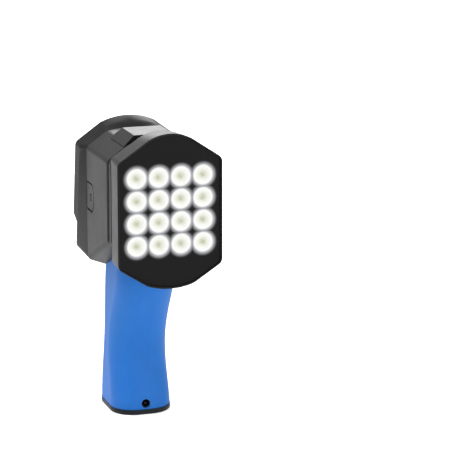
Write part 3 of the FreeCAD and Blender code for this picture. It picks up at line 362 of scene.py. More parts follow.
@dataclass(frozen=True)
class SoftRubber(Finish):
    """Soft-touch rubber: dull, with a faint sheen and a very fine grain."""

    name: str
    colour: Colour
    pale: Colour
    roughness: float = 0.62

    def build(self, graph: Graph) -> bpy.types.Material:
        """Draws the even colour with faint handling marks.

        Args:
            graph: The material's empty graph.

        Returns:
            The material.
        """
        marks = graph.noise(26, 5, 0.62)
        grain = graph.noise(3800, 2, 0.6)
        streaks = graph.noise(60, 3, 0.5, (1, 1, 0.18))
        tone = (marks * 0.55 + streaks * 0.3 + grain * 0.15).limited(0, 1)
        return graph.finish(
            Base_Color=graph.blend(tone.ramped(0.25, 0.85), self.colour, self.pale),
            Roughness=(marks * 0.16 + grain * 0.08 + (self.roughness - 0.12)).limited(0.2, 0.95),
            Normal=graph.bump(grain, 0.00004, 0.3), Sheen_Weight=0.12, Sheen_Roughness=0.5,
            Specular_IOR_Level=0.3)


@dataclass(frozen=True)
class LitPlate(Finish):
    """The dark lens plate, with the lit lenses' light spilling on it."""

    name: str
    colour: Colour
    glow: Colour
    reach: float = 0.0038
    overlap: float = 0.0006

    def build(self, graph: Graph) -> bpy.types.Material:
        """Draws the plate's grain and a soft ring of light round each lens.

        Args:
            graph: The material's empty graph.

        Returns:
            The material.
        """
        away = lens_distance(graph)
        spill = 1 - away.ramped(LENS_RADIUS - self.overlap, LENS_RADIUS + self.reach)
        grain = graph.noise(2400, 3, 0.7)
        patches = graph.noise(30, 3, 0.5)
        dark, light = shaded(self.colour, 0.82), shaded(self.colour, 1.2)
        return graph.finish(
            Base_Color=graph.blend((grain * 0.5 + patches * 0.5).ramped(0.3, 0.7), dark, light),
            Roughness=(patches * 0.16 + 0.36).limited(0, 1), Specular_IOR_Level=0.1,
            Normal=graph.bump(grain, 0.00003, 0.25),
            Emission_Color=graph.blend((spill ** 1.4) * 0.62, (0.0, 0.0, 0.0), self.glow),
            Emission_Strength=1.0)


def lens_distance(graph: Graph) -> Channel:
    """The distance from the middle of the nearest lens, across the lens face.

    Args:
        graph: The graph that the nodes are added to.

    Returns:
        The distance in metres.
    """
    edge = (LENS_COUNT - 1) / 2
    squares: Optional[Channel] = None
    for axis, centre in ((0, 0.0), (2, HEAD_HEIGHT)):
        step = (graph.place(axis) - centre) / LENS_PITCH
        near = (step - 0.5).rounded().limited(-edge - 0.5, edge - 0.5) + 0.5
        off = (step - near) * LENS_PITCH
        squares = off * off if squares is None else squares + off * off
    return squares.root()


@dataclass(frozen=True)
class LitLens(Finish):
    """A clear lens over a lit source: white, with a faint yellow-green middle."""

    name: str
    rim: Colour
    middle: Colour
    heart: Colour
    shade: Colour
    inner_span: Span = (0.0018, 0.0062)
    core_span: Span = (0.0004, 0.0028)
    ring_radius: float = 0.0054
    ring_width: float = 0.0007
    edge_span: Span = (0.0065, LENS_RADIUS + 0.0002)
    sway: float = 0.0030
    core_sway: float = 0.0034

    def build(self, graph: Graph) -> bpy.types.Material:
        """Draws rings of light that deepen towards the source.

        Args:
            graph: The material's empty graph.

        Returns:
            The material.
        """
        away = lens_distance(graph)
        swirl = graph.noise(420, 3, 0.6)
        inner = (1 - (away + (swirl - 0.5) * self.sway).ramped(*self.inner_span)) * (swirl * 0.8 + 0.6)
        core = 1 - (away + (swirl - 0.5) * self.core_sway).ramped(*self.core_span)
        ring = 1 - (away - self.ring_radius).size().ramped(0.0, self.ring_width)
        edge = away.ramped(*self.edge_span)
        colour = graph.blend(inner, self.rim, self.middle)
        colour = graph.blend(core * 0.8, colour, self.heart)
        colour = graph.blend(ring * 0.2, colour, self.middle)
        colour = graph.blend(edge * 0.55, colour, self.shade)
        return graph.finish(
            Base_Color=graph.blend(inner, (0.1, 0.1, 0.1), (0.16, 0.16, 0.12)),
            Roughness=0.2 + swirl * 0.08,
            Emission_Color=colour, Emission_Strength=1.0, Specular_IOR_Level=0.3)


@dataclass(frozen=True)
class Metal(Finish):
    """Machined or drawn metal with fine streaks."""

    name: str
    colour: Colour
    roughness: float = 0.34
    stretch: Place = (1, 1, 0.12)

    def build(self, graph: Graph) -> bpy.types.Material:
        """Draws the streaks and the tarnish.

        Args:
            graph: The material's empty graph.

        Returns:
            The material.
        """
        streaks = graph.noise(900, 3, 0.65, self.stretch)
        tarnish = graph.noise(120, 3, 0.5)
        dull = shaded(self.colour, 0.72)
        return graph.finish(
            Base_Color=graph.blend((streaks * 0.5 + tarnish * 0.5).ramped(0.3, 0.7), dull, self.colour),
            Metallic=(1 - tarnish * 0.08).limited(0, 1),
            Roughness=(streaks * 0.22 + (self.roughness - 0.1)).limited(0.1, 0.9),
            Normal=graph.bump(streaks, 0.00003, 0.3))


@dataclass(frozen=True)
class Circuit(Finish):
    """A circuit board under solder mask, with tracks that show through."""

    name: str
    mask: Colour
    track: Colour
    scale: float = 420

    def build(self, graph: Graph) -> bpy.types.Material:
        """Draws tracks in a brick layout under the mask.

        Args:
            graph: The material's empty graph.

        Returns:
            The material.
        """
        values = {"Vector": graph.spot(), "Scale": self.scale, "Color1": (0, 0, 0, 1),
                  "Color2": (0.15, 0.15, 0.15, 1), "Mortar": (1, 1, 1, 1), "Mortar Size": 0.05}
        bricks = graph.node("ShaderNodeTexBrick", {"offset": 0.5}, values)
        patches = graph.noise(90, 3, 0.5)
        return graph.finish(
            Base_Color=graph.blend(bricks * 0.5 + patches * 0.2, self.mask, self.track),
            Roughness=(patches * 0.2 + 0.25).limited(0, 1), Normal=graph.bump(bricks, 0.00003, 0.4))


@dataclass(frozen=True)
class ClearPane(Finish):
    """A thin clear window with a faint reflection."""

    name: str
    tint: Colour
    alpha: float = 0.02

    def build(self, graph: Graph) -> bpy.types.Material:
        """Draws a nearly invisible, glossy pane with faint smears.

        Args:
            graph: The material's empty graph.

        Returns:
            The material.
        """
        smears = graph.noise(60, 4, 0.6)
        return graph.finish(
            Base_Color=graph.blend(smears, self.tint, (0.9, 0.9, 0.9)), Roughness=smears * 0.08 + 0.04,
            Alpha=(smears * 0.04 + self.alpha).limited(0, 1), IOR=1.49)


@dataclass(frozen=True)
class LiquidCrystal(Finish):
    """The display's grey field, with painted light that makes it a little lighter towards its top left."""

    name: str
    low: Colour
    high: Colour

    def build(self, graph: Graph) -> bpy.types.Material:
        """Draws the field's painted slope of light and its fine speckle.

        Args:
            graph: The material's empty graph.

        Returns:
            The material.
        """
        across = graph.place(0)
        height = graph.place(2)
        # Painted light: brighter towards the top left of the sunk field.
        painted_light_slope = ((height - HEAD_HEIGHT) * 7 + across * 8 + 0.55).ramped(0.0, 1.0)
        speckle = graph.noise(1800, 2, 0.7)
        return graph.finish(
            Base_Color=graph.blend((painted_light_slope * 0.85 + speckle * 0.15).limited(0, 1), self.low, self.high),
            Roughness=0.3 + speckle * 0.1, Specular_IOR_Level=0.3)


@dataclass(frozen=True)
class Ink(Finish):
    """Printed or lit marks."""

    name: str
    colour: Colour
    light: float = 0.0

    def build(self, graph: Graph) -> bpy.types.Material:
        """Draws slightly uneven ink, lit where it has light.

        Args:
            graph: The material's empty graph.

        Returns:
            The material.
        """
        cover = graph.noise(1400, 2, 0.6)
        dull = shaded(self.colour, 0.86)
        return graph.finish(Base_Color=graph.blend(cover, dull, self.colour), Roughness=0.5 + cover * 0.15,
                            Emission_Color=self.colour, Emission_Strength=self.light)


HOUSING = MouldedPlastic("housing_plastic", written(33, 33, 34), roughness=0.4, gloss=0.08)
HOOD_FACE = MouldedPlastic("face_plastic", written(46, 46, 47), roughness=0.55, grain=1900, gloss=0.16)
PLATE = LitPlate("lens_plate", written(15, 15, 16), (0.95, 0.96, 1.0))
LENS = LitLens("lit_lens", (0.88, 0.88, 0.86), (0.60, 0.61, 0.52), (0.36, 0.37, 0.27), (0.5, 0.5, 0.52))
SLEEVE = SoftRubber("blue_rubber", written(30, 118, 214), written(44, 132, 224))
KEY_RUBBER = SoftRubber("key_rubber", written(92, 93, 92), written(106, 107, 105), roughness=0.55)
# Painted shade: a darker rubber on the keys' sides stands for the shade in the gaps between keys.
KEY_SIDE_SHADE = SoftRubber("key_side_shade", written(20, 20, 20), written(26, 26, 26), roughness=0.7)
CAP_PLASTIC = MouldedPlastic("cap_plastic", written(16, 19, 25), roughness=0.5, gloss=0.2)
BLACK = MouldedPlastic("black_plastic", written(12, 12, 13), roughness=0.55, gloss=0.2)
DARK_STEEL = Metal("blackened_steel", written(44, 44, 46), 0.42)
STEEL = Metal("zinc_steel", written(165, 165, 168), 0.32)
BRASS = Metal("turned_brass", written(205, 172, 105), 0.28)
ALUMINIUM = Metal("extruded_aluminium", written(190, 192, 196), 0.36)
GREEN_BOARD = Circuit("green_board", written(18, 82, 44), written(52, 128, 70))
WHITE_BOARD = Circuit("white_board", written(214, 216, 212), written(180, 182, 178))
PHOSPHOR = Ink("phosphor", written(236, 204, 92))
PANE = ClearPane("display_pane", (0.7, 0.72, 0.74))
# The field's two greys are the ends of its painted slope of light.
CRYSTAL = LiquidCrystal("display_field", written(54, 54, 55), written(88, 88, 89))
WHITE_MARK = Ink("lit_mark", written(238, 239, 240), 0.35)
WHITE_PRINT = Ink("white_print", written(225, 226, 224))
RED_PRINT = Ink("red_print", written(176, 72, 80))
CELL_WRAP = SoftRubber("cell_wrap", written(24, 64, 128), written(34, 84, 156), roughness=0.4)
CAN_SLEEVE = SoftRubber("can_sleeve", written(36, 36, 62), written(48, 48, 80), roughness=0.4)

CARRIED = {
    "led_emitters": PHOSPHOR, "led_board": WHITE_BOARD, "led_board_screws": STEEL, "heat_sink": ALUMINIUM,
    "driver_board": GREEN_BOARD, "driver_parts": CAN_SLEEVE, "lcd_module": CRYSTAL,
    "display_board": GREEN_BOARD, "display_screws": STEEL, "key_frame": BLACK, "key_switches": BLACK,
    "grip_screws": STEEL, "charge_socket": BLACK, "battery_cell_front": CELL_WRAP,
    "battery_cell_rear": CELL_WRAP, "battery_holder": BLACK, "battery_strips": STEEL,
}


def clear_selection() -> None:
    """Leaves edit mode and deselects every object."""
    if bpy.context.object and bpy.context.object.mode != "OBJECT":
        bpy.ops.object.mode_set(mode="OBJECT")
    bpy.ops.object.select_all(action="DESELECT")


def only(piece: Piece) -> Piece:
    """Selects one object alone and makes it active.

    Args:
        piece: The object.

    Returns:
        The same object.
    """
    clear_selection()
    piece.select_set(True)
    bpy.context.view_layer.objects.active = piece
    return piece


def fresh(add: Callable, name: str, **options: object) -> Piece:
    """Adds a primitive under a name.

    Args:
        add: The bpy.ops function that adds it.
        name: The piece's name.
        **options: The primitive's own options.

    Returns:
        The new object, active and selected.
    """
    clear_selection()
    add(**options)
    piece = bpy.context.object
    piece.name = name
    piece.data.name = name
    return piece


def raised(height: float) -> None:
    """Extrudes the picked faces along local Z."""
    bpy.ops.mesh.extrude_region_move(TRANSFORM_OT_translate={"value": (0, 0, height)})


def widened(scale: float, height: float) -> None:
    """Widens the picked faces about local Z, at this height."""
    bpy.ops.transform.resize(value=(scale, scale, 1), center_override=(0, 0, height))


def drum(name: str, radius: float, depth: float, foot: float = 0.0, sides: int = 48) -> Piece:
    """An upright cylinder to start a piece from.

    Args:
        name: The piece's name.
        radius: Its radius.
        depth: Its height.
        foot: Where it begins along local Z.
        sides: How many sides it has.

    Returns:
        The cylinder, with its place in its mesh.
    """
    piece = fresh(bpy.ops.mesh.primitive_cylinder_add, name, vertices=sides, radius=radius, depth=depth,
                  location=(0, 0, foot + depth / 2))
    bpy.ops.object.transform_apply(location=True, rotation=True, scale=True)
    return piece


@contextmanager
def opened(piece: Piece) -> Iterator[None]:
    """Holds a piece in edit mode with its whole mesh selected.

    Args:
        piece: The mesh object.
    """
    only(piece)
    bpy.ops.object.mode_set(mode="EDIT")
    bpy.ops.mesh.select_all(action="SELECT")
    yield
    bpy.ops.object.mode_set(mode="OBJECT")


@contextmanager
def picked(piece: Piece, test: Callable[[Vector, Vector], bool], part: Part = Part.FACE) -> Iterator[None]:
    """Holds a piece in edit mode with only some faces, edges or corners selected.

    Args:
        piece: The mesh object.
        test: Says whether a part is wanted, from a face's middle and normal, an edge's ends, or a
            corner's place twice.
        part: The kind of part that is picked.
    """
    only(piece)
    bpy.ops.object.mode_set(mode="EDIT")
    bpy.ops.mesh.select_mode(type=part.value)
    bpy.ops.mesh.select_all(action="DESELECT")
    bpy.ops.object.mode_set(mode="OBJECT")
    corners = piece.data.vertices
    if part is Part.FACE:
        for face in piece.data.polygons:
            face.select = test(face.center, face.normal)
    elif part is Part.EDGE:
        for edge in piece.data.edges:
            edge.select = test(*(corners[number].co for number in edge.vertices))
    else:
        for corner in corners:
            corner.select = test(corner.co, corner.co)
    bpy.ops.object.mode_set(mode="EDIT")
    yield
    bpy.ops.object.mode_set(mode="OBJECT")


def top_faces(centre: Vector, normal: Vector) -> bool:
    """Picks faces that look along local +Z."""
    return normal.z > FACING


def bottom_faces(centre: Vector, normal: Vector) -> bool:
    """Picks faces that look along local -Z."""
    return normal.z < -FACING


def settle(piece: Piece, matrix: Matrix) -> Piece:
    """Moves a piece from its local frame to the lamp, and leaves its place in its mesh.

    Args:
        piece: The piece, built in a local frame.
        matrix: Where that frame stands.

    Returns:
        The same piece.
    """
    only(piece)
    piece.matrix_world = matrix @ piece.matrix_world
    bpy.ops.object.transform_apply(location=True, rotation=True, scale=True)
    return piece


def smooth(piece: Piece, angle: float = 32.0) -> None:
    """Shades a piece smooth except at edges sharper than this angle in degrees."""
    only(piece)
    bpy.ops.object.shade_smooth_by_angle(angle=math.radians(angle))


def applied(piece: Piece, kind: str, **settings: object) -> None:
    """Adds a modifier and applies it.

    Args:
        piece: The mesh object.
        kind: The modifier's type.
        **settings: The modifier's properties.
    """
    only(piece)
    modifier = piece.modifiers.new(kind.lower(), kind)
    for name, value in settings.items():
        setattr(modifier, name, value)
    bpy.ops.object.modifier_apply(modifier=modifier.name)


def cut(piece: Piece, *cutters: Piece, operation: str = "DIFFERENCE") -> Piece:
    """Cuts closed pieces out of another, and removes them.

    Args:
        piece: The piece that stays.
        *cutters: The pieces that are cut away, one after another.
        operation: The boolean operation.

    Returns:
        The piece.
    """
    for cutter in cutters:
        applied(piece, "BOOLEAN", operation=operation, object=cutter, solver="EXACT")
        bpy.data.objects.remove(cutter)
    return piece


def grow(piece: Piece, scale: Place, centre: Vector, shift: Place = (0, 0, 0)) -> Piece:
    """Stretches a whole mesh about a point and then moves it.

    Args:
        piece: The mesh object.
        scale: The factors along X, Y and Z.
        centre: The point that stays.
        shift: How far it moves after.

    Returns:
        The piece.
    """
    with opened(piece):
        bpy.ops.transform.resize(value=scale, center_override=centre)
        bpy.ops.transform.translate(value=shift)
    return piece


def dress(piece: Piece, finish: Finish, body: str, slot: str, *nodes: str) -> Piece:
    """Gives a piece its finish and hangs it on the frame.

    Args:
        piece: The piece, already in place.
        finish: Its finish.
        body: The body that it moves with.
        slot: The name of a material slot; not used.
        *nodes: The CAD nodes that it stands for.

    Returns:
        The same piece.
    """
    piece.data.materials.clear()
    piece.data.materials.append(finish.material())
    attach(piece, body)
    if nodes:
        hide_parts(*nodes)
    log.info("%s: %d faces", piece.name, len(piece.data.polygons))
    return piece


def twin(piece: Piece, name: str) -> Piece:
    """Copies a piece, with its own mesh.

    Args:
        piece: The piece to copy.
        name: The copy's name.

    Returns:
        The copy.
    """
    only(piece)
    bpy.ops.object.duplicate()
    copy = bpy.context.object
    copy.name = name
    copy.data.name = name
    return copy


def joined(name: str, pieces: Sequence[Piece]) -> Piece:
    """Joins several meshes into one.

    Args:
        name: The joined piece's name.
        pieces: The meshes, of which the first takes in the others.

    Returns:
        The joined piece.
    """
    clear_selection()
    for piece in pieces:
        piece.select_set(True)
    bpy.context.view_layer.objects.active = pieces[0]
    bpy.ops.object.join()
    pieces[0].name = name
    pieces[0].data.name = name
    return pieces[0]


def bar(name: str, x: float, y: float, width: float, height: float, depth: float,
        ease: float = 0.0) -> Piece:
    """A thin flat bar centred at a point of the local XY plane.

    Args:
        name: The piece's name.
        x: The middle across.
        y: The middle upwards.
        width: The size across.
        height: The size upwards.
        depth: The thickness along local Z, from 0 up.
        ease: How much the corners seen from above are rounded.

    Returns:
        The bar.
    """
    piece = fresh(bpy.ops.mesh.primitive_cube_add, name, size=1, location=(x, y, depth / 2))
    piece.scale = (width, height, depth)
    bpy.ops.object.transform_apply(location=True, rotation=True, scale=True)
    if ease:
        with picked(piece, lambda start, end: abs(start.z - end.z) > depth / 2, Part.EDGE):
            bpy.ops.mesh.bevel(offset=ease, segments=4, affect="EDGES")
    return piece


def lettering(name: str, text: str, x: float, y: float, height: float, width: float,
              depth: float) -> Piece:
    """Plain letters as a thin mesh, fitted to a width and height.

    Args:
        name: The piece's name.
        text: The letters.
        x: The left edge.
        y: The foot of the letters.
        height: The height of the letters.
        width: The whole width.
        depth: The thickness along local Z.

    Returns:
        The letters as one mesh.
    """
    clear_selection()
    bpy.ops.object.text_add()
    piece = bpy.context.object
    piece.data.body = text
    piece.data.extrude = LETTER_BODY
    piece.data.resolution_u = 4
    bpy.ops.object.convert(target="MESH")
    piece = bpy.context.object
    piece.name = name
    low = Vector(map(min, *(corner.co for corner in piece.data.vertices)))
    high = Vector(map(max, *(corner.co for corner in piece.data.vertices)))
    size = high - low
    stretch = Matrix.Diagonal((width / size.x, height / size.y, depth / size.z, 1))
    return settle(piece, Matrix.Translation((x, y, 0)) @ stretch @ Matrix.Translation(-low))


def merged_copy(node: str, name: str) -> Piece:
    """Copies a CAD node and merges its triangles into larger faces.

    Args:
        node: The CAD node.
        name: The copy's name.

    Returns:
        The copy, with its own mesh.
    """
    piece = twin(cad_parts[node], name)
    for key in [key for key in piece.keys() if key.startswith("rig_")]:
        del piece[key]
    with opened(piece):
        bpy.ops.mesh.customdata_custom_splitnormals_clear()
        bpy.ops.mesh.remove_doubles(threshold=MERGE_REACH)
        bpy.ops.mesh.dissolve_limited(angle_limit=FLAT_ANGLE, delimit={"NORMAL"})
    return piece


def soft_copy(node: str, name: str, width: float, angle: float = 32.0,
              cutters: Sequence[Piece] = ()) -> Piece:
    """A copy of a CAD node with its edges rounded.

    Args:
        node: The CAD node.
        name: The piece's name.
        width: How far the rounding reaches from each edge.
        angle: Edges sharper than this many degrees are rounded.
        cutters: Closed pieces that are cut away first, and removed after.

    Returns:
        The rounded copy.
    """
    piece = cut(merged_copy(node, name), *cutters)
    applied(piece, "BEVEL", width=width, segments=2, limit_method="ANGLE", angle_limit=math.radians(angle),
            use_clamp_overlap=True, miter_outer="MITER_ARC", harden_normals=False)
    smooth(piece, angle)
    applied(piece, "WEIGHTED_NORMAL", keep_sharp=True, weight=NORMAL_WEIGHT)
    return piece


@dataclass(frozen=True)
class Lug:
    """One of the two lugs that hold the body: its side, its length along Y, its height and its screw."""

    side: int
    root: float
    tip: float
    up: float
    screw: float
    reach: float


FRONT_LUG = Lug(1, -0.0562, -0.0495, HEAD_HEIGHT + 0.0007, 0.041 - FACE_REACH, 0.0076)
REAR_LUG = Lug(-1, 0.0008, -0.0165, HEAD_HEIGHT - 0.006, 0.087 - FACE_REACH, 0.0108)


@dataclass
class HeadShells:
    """The grey shells of the head, with softly rounded edges."""

    rounding: dict[str, float] = field(default_factory=lambda: {
        "front_housing": 0.0008, "housing_left": 0.0005, "housing_right": 0.0005, "top_cover": 0.0008,
        "rear_housing": 0.0009, "face_panel": 0.0003, "led_plate": 0.0002, "bottom_cap": 0.0003})
    seam: float = 0.0005
    seam_depth: float = 0.0006
    pinhole_radius: float = 0.0007
    pinhole_y: float = 0.0004
    pinhole_z: float = 0.1675
    pinhole_floor: float = 0.0352
    pinhole_depth: float = 0.006
    lug_skin: float = 0.0345
    lug_wall: float = 0.006
    lug_box: float = 0.0145
    lug_half: float = 0.0118
    lug_gap: float = 0.0016
    lug_lift: float = 0.0003
    slack: float = 0.001
    level: float = 0.9
    well_radius: float = 0.0034

    def seam_cutter(self) -> Piece:
        """A slightly larger copy of the top cover that leaves a dark seam round its foot.

        Returns:
            The cutter.
        """
        cutter = merged_copy("top_cover", "seam_cutter")
        middle = sum((Vector(corner) for corner in cutter.bound_box), Vector()) / 8
        wide = [(size + 2 * self.seam) / size for size in cutter.dimensions[:2]]
        return grow(cutter, (*wide, 1), middle, (0, 0, -self.seam_depth))

    def lug_cutter(self, node: str, lug: Lug) -> Piece:
        """A larger copy of a lug alone, which widens the gap round it.

        Args:
            node: The shell that the lug belongs to.
            lug: The lug.

        Returns:
            The cutter.
        """
        cutter = merged_copy(node, "lug_cutter")
        length = abs(lug.tip - lug.root)
        middle = Vector((lug.side * self.lug_skin, (lug.root + lug.tip) / 2, lug.up))
        keep = fresh(bpy.ops.mesh.primitive_cube_add, "keep", size=1, location=middle)
        keep.scale = (self.lug_box, length + 2 * self.slack, 2 * self.lug_half + 2 * self.slack)
        settle(keep, Matrix.Translation((0, math.copysign(self.slack, lug.tip - lug.root), 0)))
        cut(cutter, keep, operation="INTERSECT")
        scale = (1, 1 + self.lug_gap / length, 1 + self.lug_gap / self.lug_half)
        return grow(cutter, scale, Vector((middle.x, lug.root, lug.up)), (lug.side * self.lug_lift, 0, 0))

    def pinhole_cutter(self) -> Piece:
        """The small round hole near the hood on the right side."""
        pin = drum("pinhole", self.pinhole_radius, self.pinhole_depth, sides=24)
        return settle(pin, Seat.RIGHT_SIDE.matrix(self.pinhole_y, self.pinhole_z, self.pinhole_floor))

    def paint_shade_in_gaps(self, piece: Piece, wells: bool) -> None:
        """Paints shade, in black, on the gap round each lug or on the well round each screw.

        Args:
            piece: A shell that has its plastic already.
            wells: Whether the shell holds the lugs and their wells, and not the gaps.
        """
        # The black plastic here is painted shade in the lug gaps and screw wells.
        piece.data.materials.append(BLACK.material())
        for face in piece.data.polygons:
            for lug in (FRONT_LUG, REAR_LUG):
                off_y, off_z = face.center.y - lug.screw, face.center.z - lug.up
                depth = lug.side * face.center.x
                slanted = abs(face.normal.x) < self.level and depth > self.lug_skin - self.lug_wall
                sunk = self.lug_skin - self.lug_wall < depth < self.lug_skin
                in_well = math.hypot(off_y, off_z) < self.well_radius
                in_gap = abs(off_y) < lug.reach and abs(off_z) < self.lug_half + self.lug_gap
                if (in_well if wells else in_gap) and (slanted or sunk):
                    face.material_index = 1

    def build(self) -> None:
        """Copies and rounds each shell and gives it its plastic."""
        finishes = {"face_panel": (HOOD_FACE, "panel"), "led_plate": (PLATE, "plate"),
                    "bottom_cap": (CAP_PLASTIC, "cap")}
        cutters = {
            "housing_left": [self.seam_cutter(), self.lug_cutter("rear_housing", REAR_LUG)],
            "housing_right": [self.seam_cutter(), self.lug_cutter("front_housing", FRONT_LUG),
                              self.pinhole_cutter()]}
        for node, width in self.rounding.items():
            finish, slot = finishes.get(node, (HOUSING, "housing"))
            shell = soft_copy(node, f"{node}_shell", width, cutters=cutters.get(node, ()))
            dress(shell, finish, "lamp", slot, node)
            # Housing shells other than the top cover get painted shade in their lug gaps and screw wells.
            if finish is HOUSING and node != "top_cover":
                self.paint_shade_in_gaps(shell, node in ("front_housing", "rear_housing"))


@dataclass
class LensArray:
    """Sixteen lenses, each with a raised rim, a dished face and a domed middle."""

    sunk: float = 0.0004
    lip: float = 0.0016
    depth: float = 0.0081
    neck_radius: float = 0.0042
    rim_width: float = 0.0009
    dish_depth: float = 0.0009
    dome_radius: float = 0.0026
    step: float = 0.0003
    dome: tuple[Span, ...] = ((0.0006, 0.0004), (0.0008, 0.00025), (0.0007, 0.0001))
    crease: float = 28

    def lens(self) -> Piece:
        """Models one lens in a local frame, with its face at the plate's face.

        Returns:
            The lens.
        """
        piece = drum("lens", LENS_RADIUS, self.lip, -self.sunk - self.lip)
        with picked(piece, bottom_faces):
            raised(self.lip - self.depth)
            widened(self.neck_radius / LENS_RADIUS, -self.depth)
        dish = LENS_RADIUS - self.rim_width - self.step - self.dome_radius
        steps = ((self.rim_width, 0), (self.step, -self.step), (dish, -self.dish_depth), *self.dome)
        with picked(piece, top_faces):
            for thickness, rise in steps:
                bpy.ops.mesh.inset(thickness=thickness, depth=rise)
        smooth(piece, self.crease)
        return piece

    def build(self) -> None:
        """Copies the lens to each of its places."""
        model = self.lens()
        middle = (LENS_COUNT - 1) / 2
        for number in range(LENS_COUNT ** 2):
            row, column = divmod(number, LENS_COUNT)
            piece = twin(model, f"lens_{number + 1:02d}")
            place = Seat.LENS_FACE.matrix((column - middle) * LENS_PITCH, (middle - row) * LENS_PITCH)
            settle(piece, place)
            dress(piece, LENS, "lamp", "lens", f"led_lens_{number + 1:02d}")
        bpy.data.objects.remove(model)


@dataclass
class CrossScrew:
    """A screw with a rounded head and a cross recess, built along local Z with its seat at 0."""

    head_radius: float
    head_height: float
    shank_radius: float
    shank_length: float
    crown_inset: float = 0.22
    crown_rise: float = 0.18
    slot_length: float = 1.15
    slot_width: float = 0.24
    slot_floor: float = 0.6
    crease: float = 35

    def model(self, name: str) -> Piece:
        """Models the screw.

        Args:
            name: The piece's name.

        Returns:
            The screw in its local frame.
        """
        piece = drum(name, self.head_radius, self.head_height, sides=40)
        with picked(piece, bottom_faces):
            bpy.ops.mesh.inset(thickness=self.head_radius - self.shank_radius)
            raised(-self.shank_length)
        with picked(piece, top_faces):
            bpy.ops.mesh.inset(thickness=self.head_radius * self.crown_inset)
            bpy.ops.transform.translate(value=(0, 0, self.head_height * self.crown_rise))
        long, thin = self.head_radius * self.slot_length, self.head_radius * self.slot_width
        floor = Matrix.Translation((0, 0, self.head_height * self.slot_floor))
        for width, height in ((long, thin), (thin, long)):
            cut(piece, settle(bar("slot", 0, 0, width, height, self.head_height), floor))
        smooth(piece, self.crease)
        return piece


@dataclass
class LugScrews:
    """The two screws that show in the lugs at the sides."""

    seat: float = 0.0355

    def build(self) -> None:
        """Models a screw for each side and seats it in its well."""
        screw = CrossScrew(head_radius=0.0020, head_height=0.0011, shank_radius=0.0013, shank_length=0.007)
        for name, lug, face in (("front", FRONT_LUG, Seat.RIGHT_SIDE), ("rear", REAR_LUG, Seat.LEFT_SIDE)):
            place = face.matrix(lug.side * lug.screw, lug.up, self.seat)
            piece = settle(screw.model(f"{name}_lug_screw_head"), place)
            dress(piece, DARK_STEEL, "lamp", "steel", f"{name}_lug_screw")


